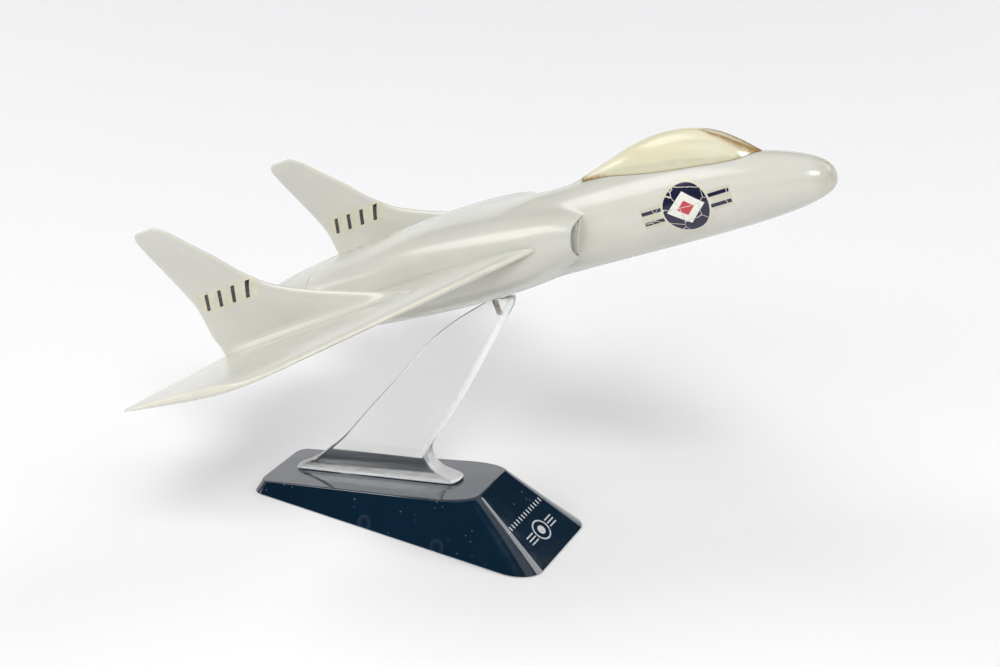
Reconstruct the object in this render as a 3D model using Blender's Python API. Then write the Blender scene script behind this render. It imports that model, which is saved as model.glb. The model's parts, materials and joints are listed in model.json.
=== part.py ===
"""Desk display model of a twin-fin swept-wing jet on a clear stem and a weighted wedge base.

World frame in metres: +X is the way the nose points, +Y the port side, +Z up.
The origin is the middle of the base's underside. Sizes below are in millimetres.
The aircraft's own frame has its nose at 0: station s runs aft, y to port, h up.
"""
import math

import bmesh
import bpy
import numpy as np
from mathutils import Matrix, Vector

MM = 0.001
GAP = 0.3                       # clearance between touching pieces

# ---- aircraft: where it sits -------------------------------------------------
NOSE_X, NOSE_Z = 177.9, 187.4   # nose tip in the world
PITCH = math.radians(24.8)      # nose-up attitude
PIN_STATION = 156.0             # the support pin's station
SEAT_H = -9.9                   # height of the belly seat on the pin

# ---- aircraft: body ----------------------------------------------------------
NOSE_LENGTH, NOSE_BLUNT = 90.0, 0.4
POD_WIDTH, POD_RISE = 16.4, 16.9
AXIS_H, AXIS_DROP = 8.7, 6.9    # body axis height, and how far it drops to the nose tip
INTAKE_S = 94.5                 # station of both intake lips' upper corners
RAKE, RAKE_TOP_H, RAKE_REACH = 0.52, 15.9, 45.0     # lips lean aft below this height, mm per mm
SEAM_S = 229.0                  # joint between the body and the tail cap
TAIL_S = 270.0
PARTING_H = -3.6                # horizontal joint between the upper and lower shells
WALL = 2.0
# the wide body that holds both engines: station, half width, top, bottom, and how square its
# upper and lower halves are
WIDE_BODY = ((94.5, 25.0, 16.2, -1.3, 3.4, 2.3), (105, 26.2, 20.2, -4.2, 3.0, 2.3),
             (120, 27.4, 23.4, -7.4, 2.7, 2.3), (144, 28.0, 26.4, -9.4, 2.6, 2.2),
             (172, 28.0, 28.2, -9.3, 2.6, 2.2), (198, 27.4, 27.0, -8.0, 2.6, 2.2),
             (229, 25.6, 25.0, -5.2, 2.6, 2.2), (254, 23.2, 22.2, -2.2, 2.5, 2.2),
             (270, 21.0, 19.0, 0.4, 2.4, 2.3))
NOSE_STATIONS = (0.05, 1.2, 4, 9, 17, 28, 42, 58, 75, INTAKE_S - 0.05)
AFT_STATIONS = (INTAKE_S, 99, 105, 112, 120, 131, 144, 158, 172, 186, 198, 214, 229, 242, 254,
                262, 270)
HOLLOW_POD = (10, 17, 28, 42, 58, 75, 94, 112)      # stations of the hollow inside the shells
HOLLOW_WIDE = (115, 120, 131, 144, 172, 198, 218)
INTAKE_LOW, INTAKE_HIGH = math.radians(-22), math.radians(19)
INTAKE_STEPS = 12
LIP, SPLITTER = 1.2, 0.9        # thickness of the intake's outer lip, and of its inner wall
DUCT_END_S, DUCT_WALL = 109.4, 0.8
BALLAST_STATIONS = (14, 20, 28, 38)
PIPE_Y, PIPE_H, PIPE_RADIUS, PIPE_WALL = 10.2, 9.6, 7.8, 1.2    # tailpipes
PIPE_START_S, PIPE_FLOOR, PIPE_PROUD = 240.4, 9.6, 1.2

# ---- aircraft: wings, fins, canopy -------------------------------------------
SPAN = 232.3
WING_ROOT_Y, WING_LE_S, WING_TE_S = 20.0, 106.5, 261.0
SWEEP = 0.90                    # leading edge, mm aft per mm outboard
TIP_TE_S = 259.5
WING_LE_H, WING_TE_H = 10.3, 6.3
TIP_LE_RISE, TIP_TE_RISE = -1.2, 4.4    # how far each edge rises from the fin to the tip
TIP_LE_CORNER = (7.4, 11.3)      # rounded corners of the squared tip: how far inboard, how far aft
TIP_TE_CORNER = (3.6, 4.0)
TIP_EDGE = 1.6                  # width of the tip's rounded edge
ROOT_THICK, TIP_THICK = 7.1, 3.6
WING_PLACES = (20, 32, 46, 62, 78, 92, 102, 108.2, 111.2, 113.4, 114.8, 115.7, 116.15)
FIN_Y = 49.8
# height, leading edge and trailing edge stations of a fin above the wing
FIN_EDGES = ((12, 158, 260.8), (14, 166, 261.6), (16, 174, 262.2),
             (20, 189, 262.6), (24, 203, 262.9), (30, 219.5, 263.8), (38, 232, 267.2),
             (48, 243, 272.2), (58, 255, 277.4), (65, 263.6, 280.4), (67.4, 268, 281.0))
FIN_THICK = ((8, 6.2), (14, 5.4), (24, 4.6), (40, 3.6), (58, 2.8), (67.4, 1.8))
# station, half width, top height of the canopy and of the fairing behind it
CANOPY = ((23.0, 1.2, 16.9), (30, 5.9, 23.2), (38, 7.6, 29.3), (47, 8.3, 32.8), (59, 8.7, 34.6),
          (73, 7.6, 33.3), (86, 4.8, 30.0), (96.6, 3.0, 27.3), (107.5, 1.6, 24.9))
CANOPY_WALL = 1.3
CANOPY_END_S = 96.6             # joint between the clear canopy and its fairing

# ---- support -----------------------------------------------------------------
PIN_RADIUS, PIN_BOTTOM_H, PIN_TOP_H = 1.1, -17.0, 3.0
SOCKET_RADIUS, SOCKET_TOP_H = 3.2, 5.0
DOWEL_RADIUS, DOWEL_H = 1.5, 8.6
DOWELS = (("wing_dowel_front", 170.0, 42.0), ("wing_dowel_rear", 205.0, 36.0))

BASE_REAR_X, BASE_FRONT_X = -73.9, 73.9
BASE_REAR_W, BASE_FRONT_W = 21.5, 29.0
TOP_REAR_X, TOP_FRONT_X = -72.6, 40.1
TOP_REAR_W, TOP_FRONT_W = 17.5, 19.2
TOP_REAR_Z, TOP_FRONT_Z = 4.4, 24.4
# corner radii of the base and of its inner parts, along x and along y
REAR_CORNER, FOOT_CORNER, CREST_CORNER, INNER_CORNER = (5, 5), (14, 10), (20, 8), (3, 3)
TOP_ROUND = 0.7
PAD_THICK, PLATE_THICK = 0.8, 1.6
PLATE_REAR_X, PLATE_FRONT_X, PLATE_W = -62.0, 62.0, 17.0
PAD_INSET = 2.5
SCREW_X, SCREW_Y = 52.0, 12.0
HEAD_RADIUS, SHANK_RADIUS = 2.1, 0.9
CAVITY_REAR_X, CAVITY_FRONT_X, CAVITY_W, BALLAST_W = -30.0, 46.0, 14.0, 12.5
# rear edge point and front edge point of the stem's blade, and half thickness, from foot to top
STEM = (((-61.4, 6.8), (23.8, 21.9), 4.9), ((-61.2, 8.2), (23.6, 23.3), 4.9),
        ((-52.0, 14.2), (16.2, 25.0), 4.0), ((-44.6, 20.6), (11.6, 28.2), 3.6),
        ((-36.6, 28.4), (9.4, 33.0), 3.4), ((-31.0, 35.2), (11.0, 38.8), 3.3),
        ((-19.4, 50.0), (18.6, 50.4), 3.3), ((-6.0, 66.4), (26.8, 65.4), 3.2),
        ((9.4, 86.4), (37.0, 86.0), 3.1), ((22.0, 98.8), (43.8, 99.8), 3.0),
        ((30.6, 105.8), (48.9, 110.6), 3.0), ((38.0, 111.6), (49.8, 115.3), 2.8))
FRONT_ROUND, REAR_ROUND = 3.4, 1.8      # reach of the blade's rounded edges
STEM_PEGS = (-34.0, 0.0)
PEG_RADIUS, PEG_DEPTH = 2.0, 3.2


# ---- small tools ---------------------------------------------------------------
def material(name, colour, roughness, metallic=0.0, transmission=0.0):
    made = bpy.data.materials.new(name)
    made.use_nodes = True
    shader = made.node_tree.nodes["Principled BSDF"]
    shader.inputs["Base Color"].default_value = (*colour, 1.0)
    shader.inputs["Roughness"].default_value = roughness
    shader.inputs["Metallic"].default_value = metallic
    shader.inputs["Transmission Weight"].default_value = transmission
    return made


def add(name, bm, parent, made_of=None, cutter=False):
    """Turn a bmesh in millimetres into an object under its parent empty."""
    bmesh.ops.scale(bm, vec=(MM, MM, MM), verts=bm.verts)
    bmesh.ops.recalc_face_normals(bm, faces=bm.faces)
    mesh = bpy.data.meshes.new(name)
    bm.to_mesh(mesh)
    bm.free()
    mesh.shade_smooth()
    mesh.set_sharp_from_angle(angle=math.radians(35))
    obj = bpy.data.objects.new(name, mesh)
    bpy.context.collection.objects.link(obj)
    obj.parent = parent
    if made_of:
        mesh.materials.append(made_of)
    if cutter:
        obj.hide_render = True
        obj.display_type = "WIRE"
    return obj


def cut(obj, *cutters):
    for cutter in cutters:
        step = obj.modifiers.new(cutter.name, "BOOLEAN")
        step.operation = "DIFFERENCE"
        step.object = cutter


def join(obj, other):
    step = obj.modifiers.new(other.name, "BOOLEAN")
    step.operation = "UNION"
    step.object = other


def loft(rings):
    """Closed skin through rings of equal length, with flat ends."""
    bm = bmesh.new()
    loops = [[bm.verts.new(point) for point in ring] for ring in rings]
    count = len(loops[0])
    for near, far in zip(loops, loops[1:]):
        for i in range(count):
            j = (i + 1) % count
            bm.faces.new((near[i], near[j], far[j], far[i]))
    bm.faces.new(loops[0][::-1])
    bm.faces.new(loops[-1])
    return bm


def box(low, high):
    bm = bmesh.new()
    bmesh.ops.create_cube(bm, size=1.0)
    low, high = Vector(low), Vector(high)
    size = high - low
    bmesh.ops.scale(bm, vec=size, verts=bm.verts)
    bmesh.ops.translate(bm, vec=(low + high) / 2, verts=bm.verts)
    return bm


def rod(start, end, radius, sides=24, end_radius=None):
    start, end = Vector(start), Vector(end)
    bm = bmesh.new()
    along = end - start
    turn = along.to_track_quat("Z", "Y").to_matrix().to_4x4()
    place = Matrix.Translation((start + end) / 2) @ turn
    last = radius if end_radius is None else end_radius
    bmesh.ops.create_cone(bm, cap_ends=True, segments=sides, radius1=radius, radius2=last,
                          depth=along.length, matrix=place)
    return bm


def curve(table, column, at):
    """Smooth value of one column of a table at a place along its first column."""
    xs = np.array([row[0] for row in table], float)
    ys = np.array([row[column] for row in table], float)
    slopes = np.gradient(ys, xs)
    i = int(np.clip(np.searchsorted(xs, at) - 1, 0, len(xs) - 2))
    width = xs[i + 1] - xs[i]
    t = min(max((at - xs[i]) / width, 0.0), 1.0)
    a, b = ys[i], ys[i + 1]
    return (a * (1 + 2 * t) * (1 - t) ** 2 + b * t * t * (3 - 2 * t)
            + width * (slopes[i] * t * (1 - t) ** 2 - slopes[i + 1] * t * t * (1 - t)))


def craft(s, y, h):
    """A point of the aircraft, measured from the seat on the support pin."""
    return Vector((PIN_STATION - s, y, h - SEAT_H))


# ---- aircraft body -------------------------------------------------------------
def axis_height(s):
    return AXIS_H - AXIS_DROP * (1 - min(s, INTAKE_S) / INTAKE_S) ** 2


def squared(c, d, width, height, power):
    """Distance to a squared ellipse along the direction (c, d)."""
    return (abs(c / width) ** power + abs(d / height) ** power) ** (-1 / power)


def rake(s, angle):
    """How far aft of its station the body's ring leans, at an angle round the body's axis."""
    near = max(0.0, 1 - abs(s - INTAKE_S) / RAKE_REACH)
    return RAKE * (RAKE_TOP_H - AXIS_H - POD_RISE * math.sin(angle)) * near


def body_radius(station, angle, wide=True):
    """Reach from the axis on the ring of a station: the larger of the nose pod and the wide body."""
    c, d = math.cos(angle), math.sin(angle)
    s = station + rake(station, angle)
    taper = (1 - (1 - min(s, NOSE_LENGTH) / NOSE_LENGTH) ** 2) ** NOSE_BLUNT
    fade = 1 - 0.25 * max(0.0, (s - 120) / 40)
    pod = squared(c, d, POD_WIDTH * taper * fade, POD_RISE * taper * fade, 2.0) if s < 160 else 0.0
    if station < INTAKE_S or not wide:
        return pod
    edge = (curve(WIDE_BODY, 2, station) - AXIS_H if d > 0
            else AXIS_H - curve(WIDE_BODY, 3, station))
    power = curve(WIDE_BODY, 4 if d > 0 else 5, station)
    return max(pod, squared(c, d, curve(WIDE_BODY, 1, station), edge, power))


def body_ring(s, sides, inset=0.0, wide=True):
    ring = []
    for i in range(sides):
        angle = 2 * math.pi * (i + 0.5) / sides
        reach = max(body_radius(s, angle, wide) - inset, 0.4)
        place = s + rake(s, angle)
        ring.append(craft(place, reach * math.cos(angle),
                          axis_height(place) + reach * math.sin(angle)))
    return ring


def body_stations(start, end):
    return [s for s in NOSE_STATIONS + AFT_STATIONS if start < s < end]


def body_solid(start, end, sides=40, inset=0.0):
    places = [start] + body_stations(start, end) + [end]
    return loft([body_ring(s, sides, inset) for s in places])


def intake_ring(s, side, pad):
    """The intake passage: between the pod's wall and the outer lip."""
    trim = pad / POD_WIDTH
    angles = [INTAKE_LOW + trim + (INTAKE_HIGH - INTAKE_LOW - 2 * trim) * i / INTAKE_STEPS
              for i in range(INTAKE_STEPS + 1)]
    outer = [(body_radius(max(s, INTAKE_S), a) - LIP - pad, a) for a in angles]
    inner = [(POD_WIDTH + SPLITTER + pad, a) for a in reversed(angles)]
    return [craft(s + rake(s, a), side * reach * math.cos(a), AXIS_H + reach * math.sin(a))
            for reach, a in outer + inner]


def make_body(frame, paint, dark):
    upper = add("fuselage_upper", body_solid(0.05, SEAM_S - GAP / 2), frame, paint)
    lower = add("fuselage_lower", body_solid(0.05, SEAM_S - GAP / 2), frame, paint)
    hollow = loft([body_ring(s, 24, WALL, wide=False) for s in HOLLOW_POD]
                  + [body_ring(s, 24, WALL) for s in HOLLOW_WIDE])
    cavity = add("cut_cavity", hollow, frame, cutter=True)
    below = add("cut_below", box(craft(TAIL_S + 9, -40, -30), craft(-9, 40, PARTING_H + GAP / 2)),
                frame, cutter=True)
    above = add("cut_above", box(craft(TAIL_S + 9, -40, PARTING_H - GAP / 2), craft(-9, 40, 60)),
                frame, cutter=True)
    cut(upper, cavity, below)
    cut(lower, cavity, above)
    socket_hole = add("cut_socket", rod(craft(PIN_STATION, 0, -14), craft(PIN_STATION, 0, 0),
                                        SOCKET_RADIUS + GAP), frame, cutter=True)
    cut(lower, socket_hole)

    for name, side in (("left", 1), ("right", -1)):
        mouth = loft([intake_ring(s, side, 0.0) for s in (92, 96.2, 101, 105.4, 110)])
        mouth_cut = add("cut_intake_" + name, mouth, frame, cutter=True)
        cut(upper, mouth_cut)
        duct = add("intake_duct_" + name, loft([intake_ring(s, side, GAP) for s in
                   (INTAKE_S + 0.8, 100, 105, DUCT_END_S)]), frame, dark)
        throat = add("cut_throat_" + name, loft([intake_ring(s, side, GAP + DUCT_WALL) for s in
                     (INTAKE_S - 2, 99.5, 104, DUCT_END_S - 1.8)]), frame, cutter=True)
        cut(duct, throat)

    ballast = loft([body_ring(s, 24, WALL + GAP) for s in BALLAST_STATIONS])
    nose_weight = add("nose_ballast", ballast, frame, dark)
    slot = add("cut_ballast", box(craft(60, -30, -20), craft(0, 30, PARTING_H + 0.6)), frame,
               cutter=True)
    cut(nose_weight, slot)

    tail = add("tail_cap", body_solid(SEAM_S + GAP / 2, TAIL_S), frame, paint)
    for name, side in (("left", 1), ("right", -1)):
        def pipe_rod(start, end, radius, y=side * PIPE_Y):
            return rod(craft(start, y, PIPE_H), craft(end, y, PIPE_H), radius)

        bore = add("cut_tailpipe_" + name, pipe_rod(PIPE_START_S - GAP, TAIL_S + 5,
                   PIPE_RADIUS + GAP), frame, cutter=True)
        cut(tail, bore)
        pipe = add("tailpipe_" + name, pipe_rod(PIPE_START_S, TAIL_S + PIPE_PROUD, PIPE_RADIUS),
                   frame, dark)
        mouth = add("cut_nozzle_" + name, pipe_rod(PIPE_START_S + PIPE_FLOOR, TAIL_S + 5,
                    PIPE_RADIUS - PIPE_WALL), frame, cutter=True)
        cut(pipe, mouth)


# ---- wings and fins ------------------------------------------------------------
def airfoil(x):
    """Half thickness of a unit section of unit thickness, with a blunt trailing edge."""
    return 5 * (0.2969 * math.sqrt(x) - 0.126 * x - 0.3516 * x ** 2 + 0.2843 * x ** 3
                - 0.1036 * x ** 4)


def section(front, rear, thick, sides=11, blunt=0.35):
    """Closed outline of a wing section: (distance aft, height) pairs."""
    steps = [(1 - math.cos(math.pi * i / sides)) / 2 for i in range(sides + 1)]
    chord = rear - front
    top = [(front + chord * x, airfoil(x) * thick + blunt * x) for x in steps[1:]]
    under = [(s, -h) for s, h in reversed(top)]
    return [(front, 0.0)] + top + under


def corner(y, width, depth):
    """How far an elliptical corner of the wing tip has cut into the chord."""
    into = min(max(0.0, (y - SPAN / 2 + width) / width), 1.0)
    return depth * (1 - math.sqrt(1 - into ** 2))


def wing_edges(y):
    """Leading and trailing edge stations and heights, and thickness, at a distance from the middle."""
    half = SPAN / 2
    part = (y - WING_ROOT_Y) / (half - WING_ROOT_Y)
    outer = max(0.0, y - FIN_Y) / (half - FIN_Y)
    lead = WING_LE_S + SWEEP * (y - WING_ROOT_Y) + corner(y, *TIP_LE_CORNER)
    trail = WING_TE_S + (TIP_TE_S - WING_TE_S) * part - corner(y, *TIP_TE_CORNER)
    thick = ROOT_THICK + (TIP_THICK - ROOT_THICK) * part
    thick *= min(1.0, (half - y) / TIP_EDGE + 0.15) ** 0.5
    return lead, trail, WING_LE_H + TIP_LE_RISE * outer, WING_TE_H + TIP_TE_RISE * outer, thick


def wing_ring(y, side, pad=0.0):
    lead, trail, lead_h, trail_h, thick = wing_edges(y)
    ring = []
    for s, h in section(lead - pad, trail + pad, thick + 2 * pad, blunt=0.35 + pad):
        along = (s - lead) / (trail - lead)
        ring.append(craft(s, side * y, lead_h + (trail_h - lead_h) * along + h))
    return ring


def wing_solid(side, pad=0.0):
    return loft([wing_ring(y, side, pad) for y in WING_PLACES])


def wing_middle(s, y):
    """Height of the wing's middle surface."""
    lead, trail, lead_h, trail_h, _ = wing_edges(y)
    return lead_h + (trail_h - lead_h) * (s - lead) / (trail - lead)


def fin_solid(side):
    first = FIN_EDGES[0]
    foot = section(first[1] + 4, first[2] - 1.4, curve(FIN_THICK, 1, first[0]), 9)
    rings = [[craft(s, side * FIN_Y + y, wing_middle(s, FIN_Y)) for s, y in foot]]
    for h, lead, trail in FIN_EDGES:
        thick = curve(FIN_THICK, 1, h)
        rise = [(s, y, h if h > 13 else wing_middle(s, FIN_Y) + h - AXIS_H)
                for s, y in section(lead, trail, thick, 9)]
        rings.append([craft(s, side * FIN_Y + y, z) for s, y, z in rise])
    return loft(rings)


def make_wings(frame, paint, steel):
    swollen = add("cut_body", body_solid(42, TAIL_S - 1, inset=-GAP), frame, cutter=True)
    for name, side in (("left", 1), ("right", -1)):
        wing = add("wing_" + name, wing_solid(side), frame, paint)
        fin = add("fin_" + name, fin_solid(side), frame, paint)
        wing_pad = add("cut_wing_" + name, wing_solid(side, GAP), frame, cutter=True)
        cut(wing, swollen)
        cut(fin, wing_pad)
        for dowel, s, reach in DOWELS:
            hole = add(f"cut_{dowel}_{name}", rod(craft(s, side * 12, DOWEL_H),
                       craft(s, side * (reach + GAP), DOWEL_H), DOWEL_RADIUS + GAP, 16),
                       frame, cutter=True)
            cut(wing, hole)
            cut(bpy.data.objects["fuselage_upper"], hole)
    for dowel, s, reach in DOWELS:
        add(dowel, rod(craft(s, -reach, DOWEL_H), craft(s, reach, DOWEL_H), DOWEL_RADIUS, 16),
            frame, steel)


# ---- canopy --------------------------------------------------------------------
def canopy_ring(s, inset, foot=6.0, sides=20):
    """Arch of the canopy, its foot so far above the body's axis."""
    width = max(curve(CANOPY, 1, s) - inset, 0.5)
    foot = axis_height(s) + foot
    rise = max(curve(CANOPY, 2, s) - inset, foot + 1.0) - foot
    arch = [math.pi * i / sides for i in range(sides + 1)]
    return [craft(s, width * math.cos(a), foot + rise * math.sin(a) ** 0.85) for a in arch]


def make_canopy(frame, clear):
    places = [CANOPY[0][0] + (CANOPY_END_S - CANOPY[0][0]) * i / 18 for i in range(19)]
    canopy = add("canopy", loft([canopy_ring(s, 0.0) for s in places]), frame, clear)
    inner = add("cut_canopy", loft([canopy_ring(s, CANOPY_WALL) for s in places[2:-2]]), frame,
                cutter=True)
    seat = add("cut_canopy_seat", body_solid(8, 144, inset=-GAP), frame, cutter=True)
    cut(canopy, inner, seat)
    fairing = [canopy_ring(s, 0.0, POD_RISE - 1.2, 12) for s in (CANOPY_END_S + GAP, 100, 104, 107)]
    join(bpy.data.objects["fuselage_upper"], add("join_fairing", loft(fairing), frame, cutter=True))


# ---- pin and socket --------------------------------------------------------------
def make_pin(swivel, frame, brass):
    add("support_pin", rod(craft(PIN_STATION, 0, PIN_BOTTOM_H), craft(PIN_STATION, 0, PIN_TOP_H),
                           PIN_RADIUS), swivel, brass)
    socket = add("pin_socket", rod(craft(PIN_STATION, 0, SEAT_H + 0.6),
                                   craft(PIN_STATION, 0, SOCKET_TOP_H), SOCKET_RADIUS),
                 frame, brass)
    bore = add("cut_pin_bore", rod(craft(PIN_STATION, 0, SEAT_H - 2),
                                   craft(PIN_STATION, 0, PIN_TOP_H + GAP), PIN_RADIUS + GAP),
               frame, cutter=True)
    cut(socket, bore)


# ---- stand -----------------------------------------------------------------------
def top_height(x):
    """Height of the base's sloping top at a distance along it."""
    along = (x - TOP_REAR_X) / (TOP_FRONT_X - TOP_REAR_X)
    return TOP_REAR_Z + (TOP_FRONT_Z - TOP_REAR_Z) * along


def plan(rear_x, front_x, rear_w, front_w, rear_r, front_r, height, steps=5):
    """Rounded, tapered outline seen from above; height is a function of x, radii are (x, y) pairs."""
    corners = ((front_x, front_w, front_r, 0.0), (rear_x, rear_w, rear_r, 0.5 * math.pi),
               (rear_x, -rear_w, rear_r, math.pi), (front_x, -front_w, front_r, 1.5 * math.pi))
    ring = []
    for x, y, (long, wide), start in corners:
        cx = x - math.copysign(long, x - (rear_x + front_x) / 2)
        cy = y - math.copysign(wide, y)
        for i in range(steps + 1):
            angle = start + 0.5 * math.pi * i / steps
            px, py = cx + long * math.cos(angle), cy + wide * math.sin(angle)
            ring.append(Vector((px, py, height(px))))
    return ring


def make_base(stand, gloss, steel, rubber):
    floor = PAD_THICK - 0.4
    foot = plan(BASE_REAR_X, BASE_FRONT_X, BASE_REAR_W, BASE_FRONT_W, REAR_CORNER, FOOT_CORNER,
                lambda x: floor)
    crest = plan(TOP_REAR_X, TOP_FRONT_X, TOP_REAR_W, TOP_FRONT_W, REAR_CORNER, CREST_CORNER,
                 top_height)
    skin = loft([foot, crest])
    rim = [e for e in skin.edges if all(v.co.z > floor + 1 for v in e.verts)
           and len({f for f in e.link_faces if len(f.verts) > 4}) == 1]
    bmesh.ops.bevel(skin, geom=rim, offset=TOP_ROUND, segments=3, affect="EDGES", profile=0.5)
    base = add("base_shell", skin, stand, gloss)

    def sloping(depth):
        return lambda x: top_height(x) - depth

    plate_top = PAD_THICK + PLATE_THICK
    rooms = (("cut_cavity_base", CAVITY_REAR_X, CAVITY_FRONT_X - 9, CAVITY_W, plate_top - 0.4, 3.0),
             ("cut_plate_seat", PLATE_REAR_X, PLATE_FRONT_X, PLATE_W, -1.0, None))
    for name, rear, front, width, bottom, depth in rooms:
        low = plan(rear, front, width, width, INNER_CORNER, INNER_CORNER, lambda x: bottom)
        height = sloping(depth) if depth else (lambda x: plate_top + GAP)
        high = plan(rear, front, width, width, INNER_CORNER, INNER_CORNER, height)
        cut(base, add(name, loft([low, high]), stand, cutter=True))

    def slab(name, inset, bottom, top, made_of):
        rings = [plan(PLATE_REAR_X + inset, PLATE_FRONT_X - inset, PLATE_W - inset, PLATE_W - inset,
                      INNER_CORNER, INNER_CORNER, lambda x, z=z: z) for z in (bottom, top)]
        return add(name, loft(rings), stand, made_of)

    plate = slab("base_plate", GAP, PAD_THICK + GAP, plate_top, steel)
    slab("base_pad", PAD_INSET, 0.0, PAD_THICK, rubber)

    block = [plan(CAVITY_REAR_X + 6, CAVITY_FRONT_X - 10, BALLAST_W, BALLAST_W, INNER_CORNER,
                  INNER_CORNER, height) for height in (lambda x: plate_top + GAP, sloping(6.6))]
    add("base_ballast", loft(block), stand, steel)

    places = [(x, y) for x in (-SCREW_X, SCREW_X) for y in (-SCREW_Y, SCREW_Y)]
    for i, (x, y) in enumerate(places, 1):
        drill = add(f"cut_screw_{i}", rod((x, y, -1), (x, y, 5.6), SHANK_RADIUS + GAP, 12), stand,
                    cutter=True)
        sink = add(f"cut_sink_{i}", rod((x, y, -1), (x, y, 2.0), HEAD_RADIUS + 0.5, 16), stand,
                   cutter=True)
        cut(base, drill)
        cut(plate, drill, sink)
        cut(bpy.data.objects["base_pad"], sink)
        head = add(f"base_screw_{i}", rod((x, y, 1.1), (x, y, 1.9), HEAD_RADIUS, 16), stand, steel)
        shank = add(f"join_shank_{i}", rod((x, y, 1.5), (x, y, 5.2), SHANK_RADIUS, 12), stand,
                    cutter=True)
        join(head, shank)
    return base


def blade_ring(rear, front, half, sides=14):
    """Section of the blade: a tapering slab with a full round front edge and a thinner rear one."""
    rear, front = Vector((rear[0], 0, rear[1])), Vector((front[0], 0, front[1]))
    length = (front - rear).length
    ring = []
    for i in range(2 * sides):
        angle = math.pi * i / sides
        along = (1 - math.cos(angle)) / 2
        ahead, behind = (1 - along) * length / FRONT_ROUND, along * length / REAR_ROUND
        wide = half * math.sqrt(1 - (1 - min(ahead, behind, 1.0)) ** 2) * (0.6 + 0.4 * along)
        point = rear.lerp(front, along)
        point.y = math.copysign(wide, math.sin(angle)) if i % sides else 0.0
        ring.append(point)
    return ring


def make_stem(stand, clear, base):
    stem = add("stem", loft([blade_ring(*level) for level in STEM]), stand, clear)
    for i, x in enumerate(STEM_PEGS, 1):
        z = top_height(x)
        hole = add(f"cut_peg_{i}", rod((x, 0, z - PEG_DEPTH), (x, 0, z + 2), PEG_RADIUS + GAP, 16),
                   stand, cutter=True)
        cut(base, hole)
        peg = add(f"join_peg_{i}", rod((x, 0, z - PEG_DEPTH + GAP), (x, 0, z + 4), PEG_RADIUS, 16),
                  stand, cutter=True)
        join(stem, peg)
    return stem


def main():
    for obj in list(bpy.data.objects):
        bpy.data.objects.remove(obj)

    paint = material("grey_acetate", (0.56, 0.56, 0.52), 0.22)
    amber = material("yellowed_acetate", (0.82, 0.79, 0.50), 0.12, transmission=0.6)
    clear = material("clear_acrylic", (0.95, 0.96, 0.95), 0.04, transmission=1.0)
    navy = material("navy_gloss", (0.004, 0.012, 0.03), 0.10)
    dark = material("dark_insert", (0.25, 0.25, 0.24), 0.5)
    brass = material("brass", (0.72, 0.53, 0.26), 0.28, 1.0)
    steel = material("steel", (0.48, 0.48, 0.5), 0.35, 1.0)
    rubber = material("rubber", (0.02, 0.02, 0.02), 0.8)

    stand = bpy.data.objects.new("stand_frame", None)
    swivel = bpy.data.objects.new("pin_frame", None)
    frame = bpy.data.objects.new("aircraft_frame", None)
    for empty in (stand, swivel, frame):
        bpy.context.collection.objects.link(empty)
    seat_x = NOSE_X - PIN_STATION * math.cos(PITCH) - SEAT_H * math.sin(PITCH)
    seat_z = NOSE_Z - PIN_STATION * math.sin(PITCH) + SEAT_H * math.cos(PITCH)
    for empty in (swivel, frame):
        empty.location = (seat_x * MM, 0, seat_z * MM)
        empty.rotation_euler = (0, -PITCH, 0)

    make_body(frame, paint, dark)
    make_wings(frame, paint, steel)
    make_canopy(frame, amber)
    make_pin(swivel, frame, brass)
    base = make_base(stand, navy, steel, rubber)
    stem = make_stem(stand, clear, base)
    bore = add("cut_stem_bore", rod(craft(PIN_STATION, 0, PIN_BOTTOM_H - GAP),
                                    craft(PIN_STATION, 0, 5), PIN_RADIUS + GAP, 20), swivel,
               cutter=True)
    cut(stem, bore)


main()
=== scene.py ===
"""Looks of a desk display model: an old acetate jet on a clear stem and a navy wedge base.

The frame gives the seat on the pin, the pitch and the boxes. The aircraft's pieces are drawn in
its own millimetres: station s aft of the nose, y to port, h up.
"""
import json
import math

import bmesh
import bpy
import numpy as np
from mathutils import Matrix, Vector


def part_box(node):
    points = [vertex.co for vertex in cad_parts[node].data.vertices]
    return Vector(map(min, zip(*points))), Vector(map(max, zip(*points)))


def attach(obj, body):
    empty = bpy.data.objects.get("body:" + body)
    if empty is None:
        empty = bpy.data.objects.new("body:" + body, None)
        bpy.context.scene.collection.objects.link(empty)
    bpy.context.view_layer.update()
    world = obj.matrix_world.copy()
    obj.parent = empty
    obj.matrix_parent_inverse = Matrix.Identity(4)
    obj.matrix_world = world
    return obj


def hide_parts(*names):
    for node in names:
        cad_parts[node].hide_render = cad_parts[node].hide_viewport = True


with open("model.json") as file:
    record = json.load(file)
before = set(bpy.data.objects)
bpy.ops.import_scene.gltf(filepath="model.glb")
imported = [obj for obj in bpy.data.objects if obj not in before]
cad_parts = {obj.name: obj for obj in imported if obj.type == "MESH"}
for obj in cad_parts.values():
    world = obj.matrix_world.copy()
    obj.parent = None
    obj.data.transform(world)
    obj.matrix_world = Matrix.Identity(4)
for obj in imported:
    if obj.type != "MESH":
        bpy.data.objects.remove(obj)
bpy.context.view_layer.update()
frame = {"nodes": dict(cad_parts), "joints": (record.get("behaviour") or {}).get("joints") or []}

MM = 0.001
GAP = 0.3
TURN = 2 * math.pi

# ---- the aircraft's place, from the frame ----
SWIVEL = next(j for j in frame["joints"] if j["name"] == "aircraft_swivel")
SEAT = Vector(SWIVEL["pos_m"]) / MM
SIN_PITCH, COS_PITCH = -SWIVEL["axis"][0], SWIVEL["axis"][2]
PIN_STATION, SEAT_H = 156.0, -9.9
HALF_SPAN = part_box("wing_left")[1].y / MM
FIN_Y = (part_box("fin_left")[0].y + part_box("fin_left")[1].y) / 2 / MM

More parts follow.
